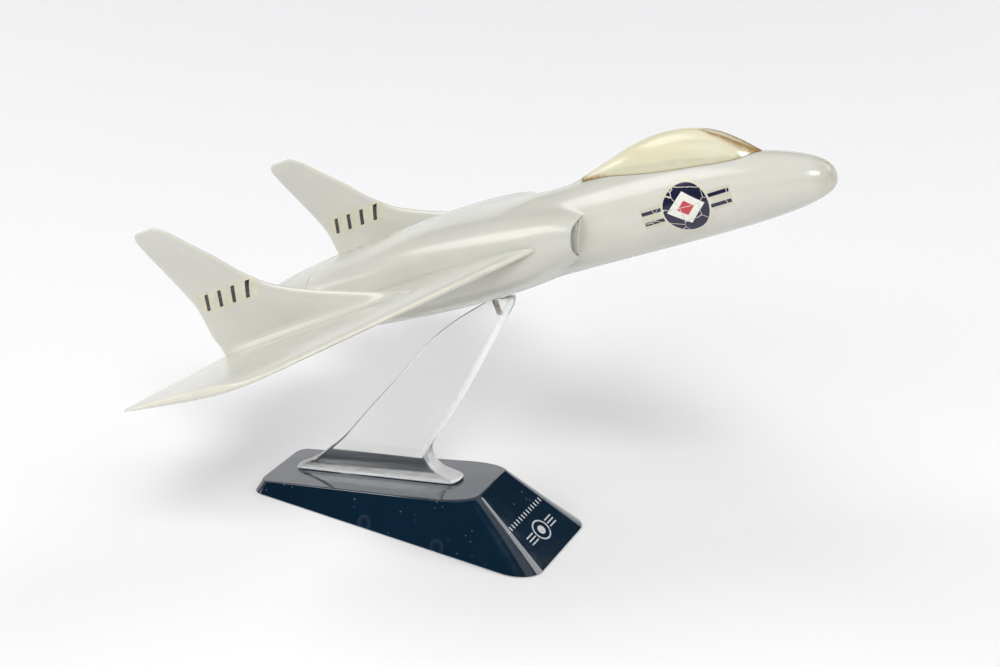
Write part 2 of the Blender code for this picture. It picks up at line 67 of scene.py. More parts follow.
# ---- shape, as in the part ----
NOSE_LENGTH, NOSE_BLUNT = 90.0, 0.4
POD_WIDTH, POD_RISE = 16.4, 16.9
AXIS_H, AXIS_DROP = 8.7, 6.9
INTAKE_S, INTAKE_DEPTH = 94.5, 15.0
RAKE, RAKE_TOP_H, RAKE_REACH = 0.52, 15.9, 45.0
LIP, SPLITTER = 1.2, 0.9
SEAM_S, TAIL_S = 229.0, 270.0
# station, half width, height of top and bottom, how square it is above and below
WIDE_BODY = ((94.5, 25.0, 16.2, -1.3, 3.4, 2.3), (105, 26.2, 20.2, -4.2, 3.0, 2.3),
             (120, 27.4, 23.4, -7.4, 2.7, 2.3), (144, 28.0, 26.4, -9.4, 2.6, 2.2),
             (172, 28.0, 28.2, -9.3, 2.6, 2.2), (198, 27.4, 27.0, -8.0, 2.6, 2.2),
             (229, 25.6, 25.0, -5.2, 2.6, 2.2), (254, 23.2, 22.2, -2.2, 2.5, 2.2),
             (270, 21.0, 19.0, 0.4, 2.4, 2.3))
PIPE_Y, PIPE_H, PIPE_RADIUS, PIPE_WALL = 10.2, 9.6, 7.8, 1.2
PIPE_START_S, PIPE_FLOOR_S, PIPE_END_S = 240.4, 250.0, 271.2

WING_ROOT_Y, WING_LE_S, WING_TE_S = 20.0, 106.5, 261.0
SWEEP, TIP_TE_S = 0.90, 259.5
WING_LE_H, WING_TE_H = 10.3, 6.3
TIP_LE_RISE, TIP_TE_RISE = -1.2, 4.4
TIP_LE_CORNER, TIP_TE_CORNER, TIP_EDGE = (7.4, 11.3), (3.6, 4.0), 1.6
ROOT_THICK, TIP_THICK = 7.1, 3.6
# height, stations of the leading and trailing edge
FIN_EDGES = ((6.5, 158, 259.6), (12, 158, 260.8), (14, 166, 261.6), (16, 174, 262.2),
             (20, 189, 262.6), (24, 203, 262.9), (30, 219.5, 263.8), (38, 232, 267.2),
             (48, 243, 272.2), (58, 255, 277.4), (65, 263.6, 280.4), (67.4, 268, 281.0))
FIN_THICK = ((6.5, 6.4), (14, 5.4), (24, 4.6), (40, 3.6), (58, 2.8), (67.4, 1.8))
FIN_FILLET = 3.2
# station, half width, height of the crest
CANOPY = ((23.0, 1.2, 16.9), (30, 5.9, 23.2), (38, 7.6, 29.3), (47, 8.3, 32.8), (59, 8.7, 34.6),
          (73, 7.6, 33.3), (86, 4.8, 30.0), (96.6, 3.0, 27.3), (107.5, 1.6, 24.9))
CANOPY_WALL, CANOPY_END_S, SCREEN_END_S = 1.3, 96.6, 45.0

# rear edge (x, z), front edge (x, z), half thickness
STEM = (((-61.4, 6.8), (23.8, 21.9), 4.9), ((-61.2, 8.2), (23.6, 23.3), 4.9),
        ((-52.0, 14.2), (16.2, 25.0), 4.0), ((-44.6, 20.6), (11.6, 28.2), 3.6),
        ((-36.6, 28.4), (9.4, 33.0), 3.4), ((-31.0, 35.2), (11.0, 38.8), 3.3),
        ((-19.4, 50.0), (18.6, 50.4), 3.3), ((-6.0, 66.4), (26.8, 65.4), 3.2),
        ((9.4, 86.4), (37.0, 86.0), 3.1), ((22.0, 98.8), (43.8, 99.8), 3.0),
        ((30.6, 105.8), (48.9, 110.6), 3.0), ((38.0, 111.6), (49.8, 115.3), 2.8))
FRONT_ROUND, REAR_ROUND = 3.4, 1.8      # reach of the blade's rounded edges
PIN_RADIUS, PIN_BOTTOM_H, PIN_TOP_H = 1.1, -17.0, 3.0
BASE = [v / MM for v in (*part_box("base_shell")[0], *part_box("base_shell")[1])]
BASE_REAR_X, BASE_FRONT_X, BASE_FRONT_W, BASE_FLOOR = BASE[0], BASE[3], BASE[4], BASE[2]
TOP_REAR_X, TOP_FRONT_X, TOP_REAR_Z, TOP_FRONT_Z = -72.6, 40.1, 4.4, 24.4
BASE_REAR_W, TOP_REAR_W, TOP_FRONT_W, TOP_ROUND = 21.5, 17.5, 19.2, 0.7
REAR_CORNER, FOOT_CORNER, CREST_CORNER, INNER_CORNER = (5, 5), (14, 10), (20, 8), (3, 3)

# ---- finer shape ----
NOSE_STATIONS = (0.0004, 0.006, 0.03, 0.09, 0.2, 0.4, 0.75, 1.3, 2.1, 3.1, 4.4, 6, 8, 10.5, 13.5)
NOSE_TRIM = 0.222               # how far the very tip is drawn back
SEAM_EASE = ((0.7, 0.0), (0.25, -0.1), (GAP / 2, -0.35))    # off the seam, and its drawn-in edge
DUCT_LOW, DUCT_HIGH = math.radians(-22), math.radians(19)   # round the body's axis
FIN_TIP_ROUND, FIN_TIP_CURL, FIN_TIP_TRIM, FIN_EDGE_TRIM = 3.4, 2.6, 0.8, 0.14
CANOPY_START_S, CANOPY_PANE_DROP, ARCH_POWER = 23.6, 0.75, 0.85
SOLE_ROUND = 0.8
SEAT_X, SEAT_W, SEAT_TOP_Z = 62, 17, 2.7        # the plate's place under the base
ROOM_REAR_X, ROOM_FRONT_X, ROOM_W, ROOF_THICK = -30, 37, 14, 3      # the ballast's, above it

# ---- painted marks ----
MARK_S, MARK_H, MARK_RADIUS = 52.9, 7.6, 9.0        # the nose's round mark
LABEL_S, LABEL_H, LABEL_HALF = 244.0, 31.3, (17.0, 4.7)     # the fin's label
LABEL_TILT = -0.04


# ---- geometry tools ----
def curve(table, column, at):
    """Smooth values of one column of a table at places along its first column."""
    rows = np.array(table, float)
    xs, ys = rows[:, 0], rows[:, column]
    slopes = np.gradient(ys, xs)
    i = np.clip(np.searchsorted(xs, at) - 1, 0, len(xs) - 2)
    width = xs[i + 1] - xs[i]
    t = np.clip((at - xs[i]) / width, 0.0, 1.0)
    return (ys[i] * (1 + 2 * t) * (1 - t) ** 2 + ys[i + 1] * t * t * (3 - 2 * t)
            + width * (slopes[i] * t * (1 - t) ** 2 - slopes[i + 1] * t * t * (1 - t)))


def smooth(x, low, high):
    t = np.clip((x - low) / (high - low), 0.0, 1.0)
    return t * t * (3 - 2 * t)


def to_world(points):
    """Aircraft millimetres (s, y, h) to world metres."""
    ahead, up = PIN_STATION - points[..., 0], points[..., 2] - SEAT_H
    return np.stack([SEAT.x + ahead * COS_PITCH - up * SIN_PITCH, points[..., 1],
                     SEAT.z + ahead * SIN_PITCH + up * COS_PITCH], -1) * MM


def sheet(grid, around=True, ends=True):
    """Faces over a grid of points; its rings are closed, and so are its two ends."""
    rows, columns = grid.shape[:2]
    index = np.arange(rows * columns).reshape(rows, columns)
    ahead = np.roll(index, -1, 1) if around else index[:, 1:]
    here = index if around else index[:, :-1]
    quads = np.stack([here[:-1], ahead[:-1], ahead[1:], here[1:]], -1).reshape(-1, 4)
    faces = [tuple(q) for q in quads.tolist()]
    if ends:
        faces.append(tuple(index[0][::-1].tolist()))
        faces.append(tuple(index[-1].tolist()))
    return faces


def add(name, data):
    obj = bpy.data.objects.new(name, data)
    bpy.context.scene.collection.objects.link(obj)
    return obj


def face_outwards(mesh, weld=0.0):
    """Turns all faces outwards, and first joins points closer than a distance."""
    bm = bmesh.new()
    bm.from_mesh(mesh)
    if weld:
        bmesh.ops.remove_doubles(bm, verts=bm.verts, dist=weld * MM)
        bmesh.ops.dissolve_degenerate(bm, edges=bm.edges, dist=weld * MM)
    bmesh.ops.recalc_face_normals(bm, faces=bm.faces)
    bm.to_mesh(mesh)
    bm.free()


def build(name, body, slot, material, points, faces=None, sharp=40.0, weld=0.0, **marks):
    """A piece from world points, or a grid of them, with its marks kept as vertex attributes."""
    mesh = bpy.data.meshes.new(name)
    mesh.from_pydata(points.reshape(-1, 3).tolist(), [], faces or sheet(points))
    for mark, values in marks.items():
        wide = values.shape[-1:] == (3,) and values.ndim == points.ndim
        layer = mesh.attributes.new(mark, "FLOAT_VECTOR" if wide else "FLOAT", "POINT")
        layer.data.foreach_set("vector" if wide else "value", values.astype(float).ravel())
    face_outwards(mesh, weld)
    mesh.shade_smooth()
    mesh.set_sharp_from_angle(angle=math.radians(sharp))
    mesh.materials.append(material)
    obj = add(name, mesh)
    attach(obj, body)
    return obj


def craft_piece(name, slot, material, grid, **more):
    """A piece of the aircraft from points in its own millimetres."""
    return build(name, "aircraft", slot, material, to_world(grid), craft=grid, **more)


def carve(obj, tool):
    """Cuts a solid tool out of a piece for good."""
    step = obj.modifiers.new(tool.name, "BOOLEAN")
    step.operation, step.object, step.solver = "DIFFERENCE", tool, "EXACT"
    graph = bpy.context.evaluated_depsgraph_get()
    made = bpy.data.meshes.new_from_object(obj.evaluated_get(graph), depsgraph=graph)
    obj.modifiers.clear()
    obj.data = made
    made.shade_smooth()
    made.set_sharp_from_angle(angle=math.radians(40))
    bpy.data.objects.remove(tool)


def lathe(profile, start, axis, sides=72):
    """Rings of a turned piece: profile pairs are (distance along the axis, radius)."""
    axis = Vector(axis).normalized()
    turn = axis.to_track_quat("Z", "Y").to_matrix()
    angles = np.linspace(0, TURN, sides, endpoint=False)
    rings = [[Vector(start) + turn @ Vector((r * math.cos(a), r * math.sin(a), z)) for a in angles]
             for z, r in profile]
    return np.array(rings) * MM


def tool_rod(start, axis, length, radius, sides=64):
    grid = lathe([(0, radius), (length, radius)], start, axis, sides)
    mesh = bpy.data.meshes.new("tool")
    mesh.from_pydata(grid.reshape(-1, 3).tolist(), [], sheet(grid))
    face_outwards(mesh)
    return add("tool", mesh)


# ---- body surface ----
def axis_height(s):
    return AXIS_H - AXIS_DROP * (1 - np.minimum(s, INTAKE_S) / INTAKE_S) ** 2


def squared(c, d, width, height, power):
    """Reach of a rounded rectangle's outline in a direction (c, d)."""
    return (abs(c / width) ** power + abs(d / height) ** power) ** (-1 / power)


def lean(angle):
    return RAKE * (RAKE_TOP_H - AXIS_H - POD_RISE * np.sin(angle))


def rake(station, angle):
    """How far aft a ring leans there, as the intakes' lips do."""
    return lean(angle) * np.maximum(0.0, 1 - abs(station - INTAKE_S) / RAKE_REACH)


def station_of(s, angle):
    """The raked ring that passes through a place at an angle round the axis."""
    k, r = lean(angle), RAKE_REACH
    aft = (s - k - k * INTAKE_S / r) / (1 - k / r)
    fore = (s - k + k * INTAKE_S / r) / (1 + k / r)
    station = np.where(s > INTAKE_S + k, aft, fore)
    return np.where(abs(station - INTAKE_S) < r, station, s)


def pod_reach(s, angle):
    """From the body's axis to the nose pod's skin."""
    taper = (1 - (1 - np.clip(s, 0, NOSE_LENGTH) / NOSE_LENGTH) ** 2) ** NOSE_BLUNT
    fade = np.clip(1 - 0.25 * np.maximum(0.0, (s - 120) / 40), 0.3, 1.0)
    return squared(np.cos(angle), np.sin(angle), POD_WIDTH * taper * fade,
                   POD_RISE * taper * fade, 2.0)


def wide_reach(station, angle):
    c, d = np.cos(angle), np.sin(angle)
    upper = d > 0
    edge = np.where(upper, curve(WIDE_BODY, 2, station) - AXIS_H,
                    AXIS_H - curve(WIDE_BODY, 3, station))
    power = np.where(upper, curve(WIDE_BODY, 4, station), curve(WIDE_BODY, 5, station))
    return squared(c, d, curve(WIDE_BODY, 1, station), edge, power)


def skin_reach(station, angle):
    """The body's outside aft of the lips; the crease over each engine softens as it runs aft."""
    pod, wide = pod_reach(station + rake(station, angle), angle), wide_reach(station, angle)
    blend = 0.05 + 5.0 * smooth(station, INTAKE_S, INTAKE_S + 34)
    return np.maximum(pod, wide) + np.maximum(blend - abs(pod - wide), 0) ** 2 / (4 * blend)


def place(station, angle, reach):
    """Points (s, y, h) from places on the raked rings."""
    s = station + rake(station, angle)
    return np.stack([s, reach * np.cos(angle), axis_height(s) + reach * np.sin(angle)], -1)


def outside(points):
    """How far points (s, y, h) lie outside the body's skin."""
    s, y, h = points[..., 0], points[..., 1], points[..., 2]
    rise = h - axis_height(s)
    angle = np.arctan2(rise, y)
    station = station_of(s, angle)
    reach = np.where(station < INTAKE_S, pod_reach(s, angle), skin_reach(station, angle))
    return np.hypot(y, rise) - reach


def solve(test, low, high, steps=40):
    """Where a rising test crosses zero between two arrays of values."""
    for _ in range(steps):
        middle = (low + high) / 2
        past = test(middle) > 0
        low, high = np.where(past, low, middle), np.where(past, middle, high)
    return (low + high) / 2


# ---- body pieces ----
def body_rows(angle):
    """Rows of (station, reach) from the nose, into the intakes, round their lips and aft."""
    nose = np.concatenate([NOSE_STATIONS, np.linspace(17, INTAKE_S, 42)])
    rows = [(np.full_like(angle, s + NOSE_TRIM * (1 - min(s / 4, 1))),
             pod_reach(s + rake(s, angle), angle)) for s in nose]
    pod = rows[-1][1]
    step = np.maximum(wide_reach(INTAKE_S, angle) - pod, 0.0)
    share = np.minimum(step / (LIP + SPLITTER), 1.0)
    inner, lip = pod + SPLITTER * share, LIP * share
    depth = INTAKE_DEPTH * smooth(step - LIP - SPLITTER, 0.0, 0.7)
    for part in (0.03, 0.35, 0.7, 1.0):
        rows.append((INTAKE_S + depth * part, inner))
    for part in (1.0, 0.7, 0.35, 0.1):
        station = INTAKE_S + depth * part
        roof = np.maximum(wide_reach(station, angle) - LIP, inner)
        rows.append((station, np.where(depth > 0, roof, inner)))
    top, half = pod + step, lip / 2
    for i in range(9):
        turn = math.pi * i / 8
        rows.append((INTAKE_S + half * (1 - math.sin(turn)), top - half * (1 + math.cos(turn))))
    aft = [(s, 0.0) for s in (95.6, 96.8, 98.2, *np.arange(100, SEAM_S - 1, 1.7))]
    for station, trim in aft + [(SEAM_S - before, trim) for before, trim in SEAM_EASE]:
        rows.append((np.full_like(angle, station), skin_reach(station, angle) + trim))
    return rows


def make_body(paint):
    angle = (np.arange(360) + 0.5) * TURN / 360
    grid = np.array([place(station, angle, reach) for station, reach in body_rows(angle)])
    obj = craft_piece("skin_body", "grey_acetate", paint, grid, weld=0.002)
    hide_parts("fuselage_upper", "fuselage_lower")


def make_tail(paint):
    angle = (np.arange(240) + 0.5) * TURN / 240
    rows = [(SEAM_S + past, trim) for past, trim in SEAM_EASE[:0:-1]]
    rows += [(s, 0.0) for s in np.arange(SEAM_S + SEAM_EASE[0][0], TAIL_S - 1, 1.9)]
    rows += [(TAIL_S - 0.8 * (1 - math.sin(t)), 0.8 * (math.cos(t) - 1))
             for t in np.linspace(0, math.pi / 2, 6)]
    grid = np.array([place(s, angle, skin_reach(np.full_like(angle, s), angle) + trim)
                     for s, trim in rows])
    obj = craft_piece("skin_tail_cap", "grey_acetate", paint, grid)
    fore = Vector((COS_PITCH, 0, SIN_PITCH))
    for side in (1, -1):
        start = Vector(to_world(np.array([TAIL_S + 4, side * PIPE_Y, PIPE_H]))) / MM
        carve(obj, tool_rod(start, fore, TAIL_S + 4 - PIPE_START_S + GAP, PIPE_RADIUS + GAP, 96))
    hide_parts("tail_cap")


def make_pipe(name, side, dark):
    start = Vector(to_world(np.array([PIPE_START_S, side * PIPE_Y, PIPE_H]))) / MM
    length, floor = PIPE_END_S - PIPE_START_S, PIPE_FLOOR_S - PIPE_START_S
    bore = PIPE_RADIUS - PIPE_WALL
    lip = [(length - 0.6 * (1 - math.sin(t)), PIPE_RADIUS - 0.6 * (1 - math.cos(t)))
           for t in np.linspace(0, math.pi, 9)]
    profile = [(0, PIPE_RADIUS - 0.3), (0.3, PIPE_RADIUS), (length - 5, PIPE_RADIUS),
               (length - 4.8, PIPE_RADIUS - 0.12), (length - 4.4, PIPE_RADIUS - 0.12),
               (length - 4.2, PIPE_RADIUS)] + lip
    profile += [(length - 3, bore), (length - 6, bore - 0.3), (floor + 1, bore - 0.5),
                (floor + 0.2, bore - 0.9), (floor, bore - 1.6), (floor + 1.2, 2.4),
                (floor + 3.4, 0.2)]
    grid = lathe(profile, start, (-COS_PITCH, 0, -SIN_PITCH), 96)
    obj = build("pipe_" + name, "aircraft", "dark_insert", dark, grid)
    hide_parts("tailpipe_" + name)


def duct_loop(station, side, pad):
    """The passage's outline at a station, its corners rounded."""
    angles = np.linspace(DUCT_LOW + pad / POD_WIDTH, DUCT_HIGH - pad / POD_WIDTH, 25)
    outer = wide_reach(station, angles) - LIP - pad
    inner = np.full_like(angles, POD_WIDTH + SPLITTER + pad)
    bow = 0.8 * np.clip(abs(np.linspace(-1, 1, len(angles))) * 12 - 11, 0, 1) ** 2
    angles = np.concatenate([angles, angles[::-1]])
    reach = np.concatenate([outer - bow, inner + bow[::-1]])
    spot = place(np.full_like(angles, station), angles, reach)
    spot[:, 1] *= side
    return spot


def make_duct(name, side, dark):
    walls = [(s, GAP) for s in (109.4, 107, 104, 101, 98, 95.6)]
    walls += [(INTAKE_S + 0.85, GAP + 0.25), (INTAKE_S + 0.8, GAP + 0.4),
              (INTAKE_S + 0.95, GAP + 0.7)]
    walls += [(s, GAP + 0.8) for s in (96, 98, 101, 104, 106.4)] + [(107.4, GAP + 1.3)]
    grid = np.array([duct_loop(s, side, pad) for s, pad in walls])
    obj = craft_piece("duct_" + name, "dark_insert", dark, grid)
    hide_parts("intake_duct_" + name)


# ---- wings and fins ----
def airfoil(x):
    return 5 * (0.2969 * np.sqrt(x) - 0.126 * x - 0.3516 * x ** 2 + 0.2843 * x ** 3 - 0.1036 * x ** 4)


def section(count, blunt=0.35):
    """A closed outline: fraction of the chord, which side, and half the blunt trailing edge."""
    x = (1 - np.cos(np.linspace(0, math.pi, count))) / 2
    tail = np.array([1.0, 1.0])
    x = np.concatenate([x, tail, x[:0:-1]])
    side = np.concatenate([np.ones(count), [0.5, -0.5], -np.ones(count - 1)])
    round_end = np.concatenate([np.zeros(count), [0.14, 0.14], np.zeros(count - 1)])
    return x, side, blunt * x, round_end


def wing_edges(y):
    def corner(width, depth):
        into = np.clip((y - HALF_SPAN + width) / width, 0.0, 1.0)
        return depth * (1 - np.sqrt(1 - into ** 2))

    part = (y - WING_ROOT_Y) / (HALF_SPAN - WING_ROOT_Y)
    outer = np.maximum(0.0, y - FIN_Y) / (HALF_SPAN - FIN_Y)
    lead = WING_LE_S + SWEEP * (y - WING_ROOT_Y) + corner(*TIP_LE_CORNER)
    trail = WING_TE_S + (TIP_TE_S - WING_TE_S) * part - corner(*TIP_TE_CORNER)
    edge = np.clip((y - HALF_SPAN + TIP_EDGE) / TIP_EDGE, 0.0, 1.0)
    round_off = np.sqrt(np.maximum(1 - edge ** 2, 1e-4))
    thick = (ROOT_THICK + (TIP_THICK - ROOT_THICK) * part) * round_off
    lead_h, trail_h = WING_LE_H + TIP_LE_RISE * outer, WING_TE_H + TIP_TE_RISE * outer
    return lead, trail, lead_h, trail_h, thick, round_off


def wing_points(y, x, side, blunt, round_end):
    lead, trail, lead_h, trail_h, thick, round_off = wing_edges(y)
    s = lead + (trail - lead) * x + round_end * round_off
    h = lead_h + (trail_h - lead_h) * x + side * (airfoil(x) * thick + blunt * round_off)
    return np.stack([s, y, h], -1)


def wing_top(s, y):
    """Height of the wing's upper surface at a place."""
    lead, trail, lead_h, trail_h, thick, _ = wing_edges(y)
    x = np.clip((s - lead) / (trail - lead), 0.0, 1.0)
    return lead_h + (trail_h - lead_h) * x + airfoil(x) * thick + 0.35 * x


def make_wing(name, side, paint):
    x, half, blunt, round_end = section(44)

    def clear_of_body(y):
        return outside(wing_points(y, x, half, blunt, round_end)) - GAP

    root = solve(clear_of_body, np.full_like(x, 14.0), np.full_like(x, 34.0))
    steps = np.concatenate([np.linspace(0, 0.90, 44),
                            0.90 + 0.1 * np.sin(np.linspace(0.05, 1, 26) * math.pi / 2)])
    grid = np.array([wing_points(root + (HALF_SPAN - root) * t, x, half, blunt, round_end)
                     for t in steps])
    y = grid[..., 1]
    lead, trail = wing_edges(y)[:2]
    far = np.minimum(grid[..., 0] - lead, (HALF_SPAN - y) * 1.1)
    band = 1 - smooth(far, 0.6, 3.6)
    band = np.maximum(band, 0.55 * (1 - smooth(trail - grid[..., 0], 0.3, 1.6)))
    craft = grid * np.array([1, side, 1])
    obj = craft_piece("skin_wing_" + name, "grey_acetate", paint, craft, edge=band, sharp=50)
    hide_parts("wing_" + name)


def fin_shape(h, x, half, blunt, round_end, spread):
    """Points of a fin at heights, its outline pushed out by a spread."""
    lead, trail = curve(FIN_EDGES, 1, h), curve(FIN_EDGES, 2, h)
    into = np.clip((h - FIN_EDGES[-1][0] + FIN_TIP_ROUND) / FIN_TIP_ROUND, 0.0, 1.0)
    trail = trail - FIN_TIP_CURL * (1 - np.sqrt(1 - into ** 2)) - FIN_TIP_TRIM * into
    below = np.clip((FIN_EDGES[-1][0] - h) / 0.9, 0.0, 1.0)
    tip = np.sqrt(below * (2 - below))
    thick = curve(FIN_THICK, 1, h) * np.maximum(tip, 0.02)
    chord = trail - lead
    s = lead + chord * x + round_end - FIN_EDGE_TRIM
    y = half * (airfoil(x) * thick + blunt * tip)
    slope = np.gradient(airfoil(np.linspace(0, 1, 400)), 1 / 399)
    steep = np.interp(x, np.linspace(0, 1, 400), slope) * thick / chord
    size = np.sqrt(1 + steep ** 2)
    fade = 1 - smooth(x, 0.90, 0.995)
    out = spread * fade / size
    return np.stack([s - out * steep, y + np.sign(half) * out, h], -1)


def make_fin(name, side, paint):
    x, half, blunt, round_end = section(40)
    foot = np.full_like(x, 12.0)
    for _ in range(30):
        spot = fin_shape(foot, x, half, blunt, round_end, FIN_FILLET)
        foot = 0.5 * foot + 0.5 * (wing_top(spot[:, 0], FIN_Y + spot[:, 1]) + 0.03)
    top = FIN_EDGES[-1][0]
    rows = []
    for z in FIN_FILLET * (1 - np.cos(np.linspace(0, math.pi / 2, 9))):
        spread = FIN_FILLET - math.sqrt(FIN_FILLET ** 2 - (FIN_FILLET - z) ** 2)
        rows.append(fin_shape(foot + z, x, half, blunt, round_end, spread))
    reach = top - foot - FIN_FILLET
    rise = np.concatenate([np.linspace(0.02, 0.97, 46),
                           0.97 + 0.03 * np.sin(np.linspace(0.1, 1, 9) * math.pi / 2)])
    for t in rise:
        rows.append(fin_shape(foot + FIN_FILLET + reach * t, x, half, blunt, round_end, 0.0))
    grid = np.array(rows)
    h = grid[..., 2]
    lead, trail = curve(FIN_EDGES, 1, h), curve(FIN_EDGES, 2, h)
    near = np.minimum((grid[..., 0] - lead) * 0.6, np.minimum(trail - grid[..., 0], top - h))
    band = np.where(h - foot < 2.5, 0.0, 0.4 * (1 - smooth(near, 0.2, 1.6)))
    craft = grid + np.array([0, FIN_Y, 0])
    craft = craft * np.array([1, side, 1])
    obj = craft_piece("skin_fin_" + name, "grey_acetate", paint, craft, edge=band, sharp=55)
    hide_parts("fin_" + name)


# ---- canopy ----
def canopy_arch(s, inset, arch):
    """Points of the canopy's arch; ahead of the screen's end its top is a flat pane."""
    width = np.maximum(curve(CANOPY, 1, s) - inset, 0.4)
    foot = axis_height(s) + 6.0
    rise = np.maximum(curve(CANOPY, 2, s) - inset, foot + 1.0) - foot
    lift = rise * np.clip(np.sin(arch), 0, 1) ** ARCH_POWER
    drop = CANOPY_PANE_DROP * (1 - smooth(s, SCREEN_END_S - 7, SCREEN_END_S)) * smooth(s, 23, 27)
    pane = rise - drop
    points = [np.full_like(arch, s), width * np.cos(arch), foot + np.minimum(lift, pane)]
    return np.stack(points, -1), pane / rise


def canopy_row(s, inset):
    """One arch of points from the body up and over, where its pane starts, and its angles."""
    ratio = canopy_arch(s, inset, np.array([1.0]))[1]
    crease = math.asin(min(float(ratio) ** (1 / ARCH_POWER), 1.0))
    crease = min(crease, math.pi / 2 - 0.14)

    def clear(arch):
        return outside(canopy_arch(s, inset, arch)[0]) - GAP

    foot = float(solve(clear, np.array([0.0]), np.array([math.pi / 2]))[0])
    foot = min(foot, crease - 0.02)
    side = np.linspace(foot, crease, 26)
    pane = np.linspace(crease, math.pi - crease, 15)[1:-1]
    arch = np.concatenate([side, pane, math.pi - side[::-1]])
    return canopy_arch(s, inset, arch)[0], crease, arch


def canopy_marks(s, row, crease, arch):
    """How amber an arch's points are near the foot and along the crease, and the band above the foot
    with a painted view of the grey body seen through the canopy.
    """
    across = np.minimum(abs(arch - crease), abs(math.pi - arch - crease)) * curve(CANOPY, 1, s)
    width = 0.5 + 1.6 * (1 - smooth(s, CANOPY_START_S, SCREEN_END_S))
    ridge = np.exp(-(across / width) ** 2) * (1 - smooth(s, SCREEN_END_S - 4, SCREEN_END_S))
    rise = row[:, 2] - row[0, 2]
    ends = 0.35 + 0.65 * max(1 - smooth(s, 24, 33), smooth(s, 80, 95))
    low = (1 - smooth(rise, 0.1, 1.0 + 1.2 * ends)) * ends
    part = (s - CANOPY_START_S) / (CANOPY_END_S - CANOPY_START_S)
    line = 3.6 * math.sin(math.pi * part)
    # painted view of the grey body seen through the canopy: a band from just above the foot up to a
    # line that rises mid-length
    sill = smooth(rise, 0.8, 1.3) * (1 - smooth(rise, line - 0.25, line + 0.25))
    return np.maximum(low, ridge), sill


def shell_faces(rows, count):
    """Faces of an open shell: rows of outer points, then of inner ones, two short at each end."""
    outer, inner = np.zeros((rows, count)), np.zeros((rows - 4, count))
    shift = rows * count
    faces = sheet(outer, around=False, ends=False)
    for face in sheet(inner, around=False, ends=False):
        faces.append(tuple(i + shift for i in face[::-1]))
    last = count - 1
    for column in (0, last):
        for row in range(2, rows - 3):
            a, b = row * count + column, (row + 1) * count + column
            c, d = shift + (row - 1) * count + column, shift + (row - 2) * count + column
            faces.append((a, b, c, d) if column else (b, a, d, c))
    start = [2 * count, count, *range(count), count + last, 2 * count + last]
    faces.append(tuple(start + [shift + i for i in range(last, -1, -1)]))
    end = (rows - 3) * count
    back = [end, end + count, *range((rows - 1) * count, shift), end + count + last, end + last]
    back += [shift + (rows - 5) * count + i for i in range(last, -1, -1)]
    faces.append(tuple(back[::-1]))
    return faces


def make_canopy(clear):
    places = CANOPY_START_S + (CANOPY_END_S - CANOPY_START_S) * np.linspace(0, 1, 70)
    outer, amber, sill = [], [], []
    for s in places:
        row, crease, arch = canopy_row(s, 0.0)
        outer.append(row)
        for kept, mark in zip((amber, sill), canopy_marks(s, row, crease, arch)):
            kept.append(mark)
    inner = np.array([canopy_row(s, CANOPY_WALL)[0] for s in places[2:-2]]).reshape(-1, 3)
    points = np.concatenate([np.array(outer).reshape(-1, 3), inner])
    inside = np.zeros(len(inner))
    faces = shell_faces(len(places), len(outer[0]))
    obj = craft_piece("canopy_shell", "yellowed_clear", clear, points, faces=faces, sharp=16,
                      amber=np.concatenate([*amber, inside]), sill=np.concatenate([*sill, inside]))
    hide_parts("canopy")


def make_fairing(paint):
    rows = []
    arch = np.linspace(0, math.pi, 40)
    for s in np.linspace(CANOPY_END_S + GAP, 110, 22):
        width = max(curve(CANOPY, 1, min(s, 107.5)) * (1 - smooth(s, 104, 110)), 0.2)
        foot = axis_height(s) + POD_RISE - 1.2
        rise = max(curve(CANOPY, 2, min(s, 107.5)) - foot, 0.3) * (1 - 0.9 * smooth(s, 104, 110))
        rows.append(np.stack([np.full_like(arch, s), width * np.cos(arch),
                              foot + rise * np.sin(arch) ** ARCH_POWER], -1))
    grid = np.array(rows)
    craft_piece("canopy_fairing", "grey_acetate", paint, grid)


# ---- support ----
def make_stem(clear):
    levels = np.array([[*rear, *front, half] for rear, front, half in STEM])
    index = np.arange(len(levels), dtype=float)
    table = np.column_stack([index, levels])
    last = len(levels) - 1
    at = [0, 0.5, *np.linspace(1, last - 0.2, 90), last - 0.08, last - 0.02, last]
    around = np.linspace(0, TURN, 128, endpoint=False)
    along = (1 - np.cos(around)) / 2
    rows, ahead, behind = [], [], []
    for t in at:
        rear_x, rear_z, front_x, front_z, half = (float(curve(table, c, t)) for c in range(1, 6))
        tuck = 0.5 * smooth(t, last - 0.15, last)
        length = math.hypot(front_x - rear_x, front_z - rear_z)
        ahead.append((1 - along) * length)
        behind.append(along * length)
        into = np.minimum(ahead[-1] / FRONT_ROUND, behind[-1] / REAR_ROUND)
        bulge = np.sqrt(1 - (1 - np.minimum(into, 1.0)) ** 2) * np.sign(np.sin(around).round(9))
        wide = (half - tuck) * (0.6 + 0.4 * along) * bulge
        rows.append(np.stack([rear_x + (front_x - rear_x) * along, wide,
                              rear_z + (front_z - rear_z) * along], -1))
    grid = np.array(rows) * MM
    above = grid[..., 2] / MM - top_height(grid[..., 0] / MM)
    obj = build("stem_blade", "stand", "clear_acrylic", clear, grid, sharp=60,
                rim=1 - smooth(above, 1.3, 2.0), front=1 - smooth(np.array(ahead), 2.2, 3.6),
                rear=1 - smooth(np.array(behind), 0.4, 1.1))
    low = Vector(to_world(np.array([PIN_STATION, 0.0, PIN_BOTTOM_H - GAP]))) / MM
    carve(obj, tool_rod(low, SWIVEL["axis"], 24, PIN_RADIUS + GAP))
    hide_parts("stem")


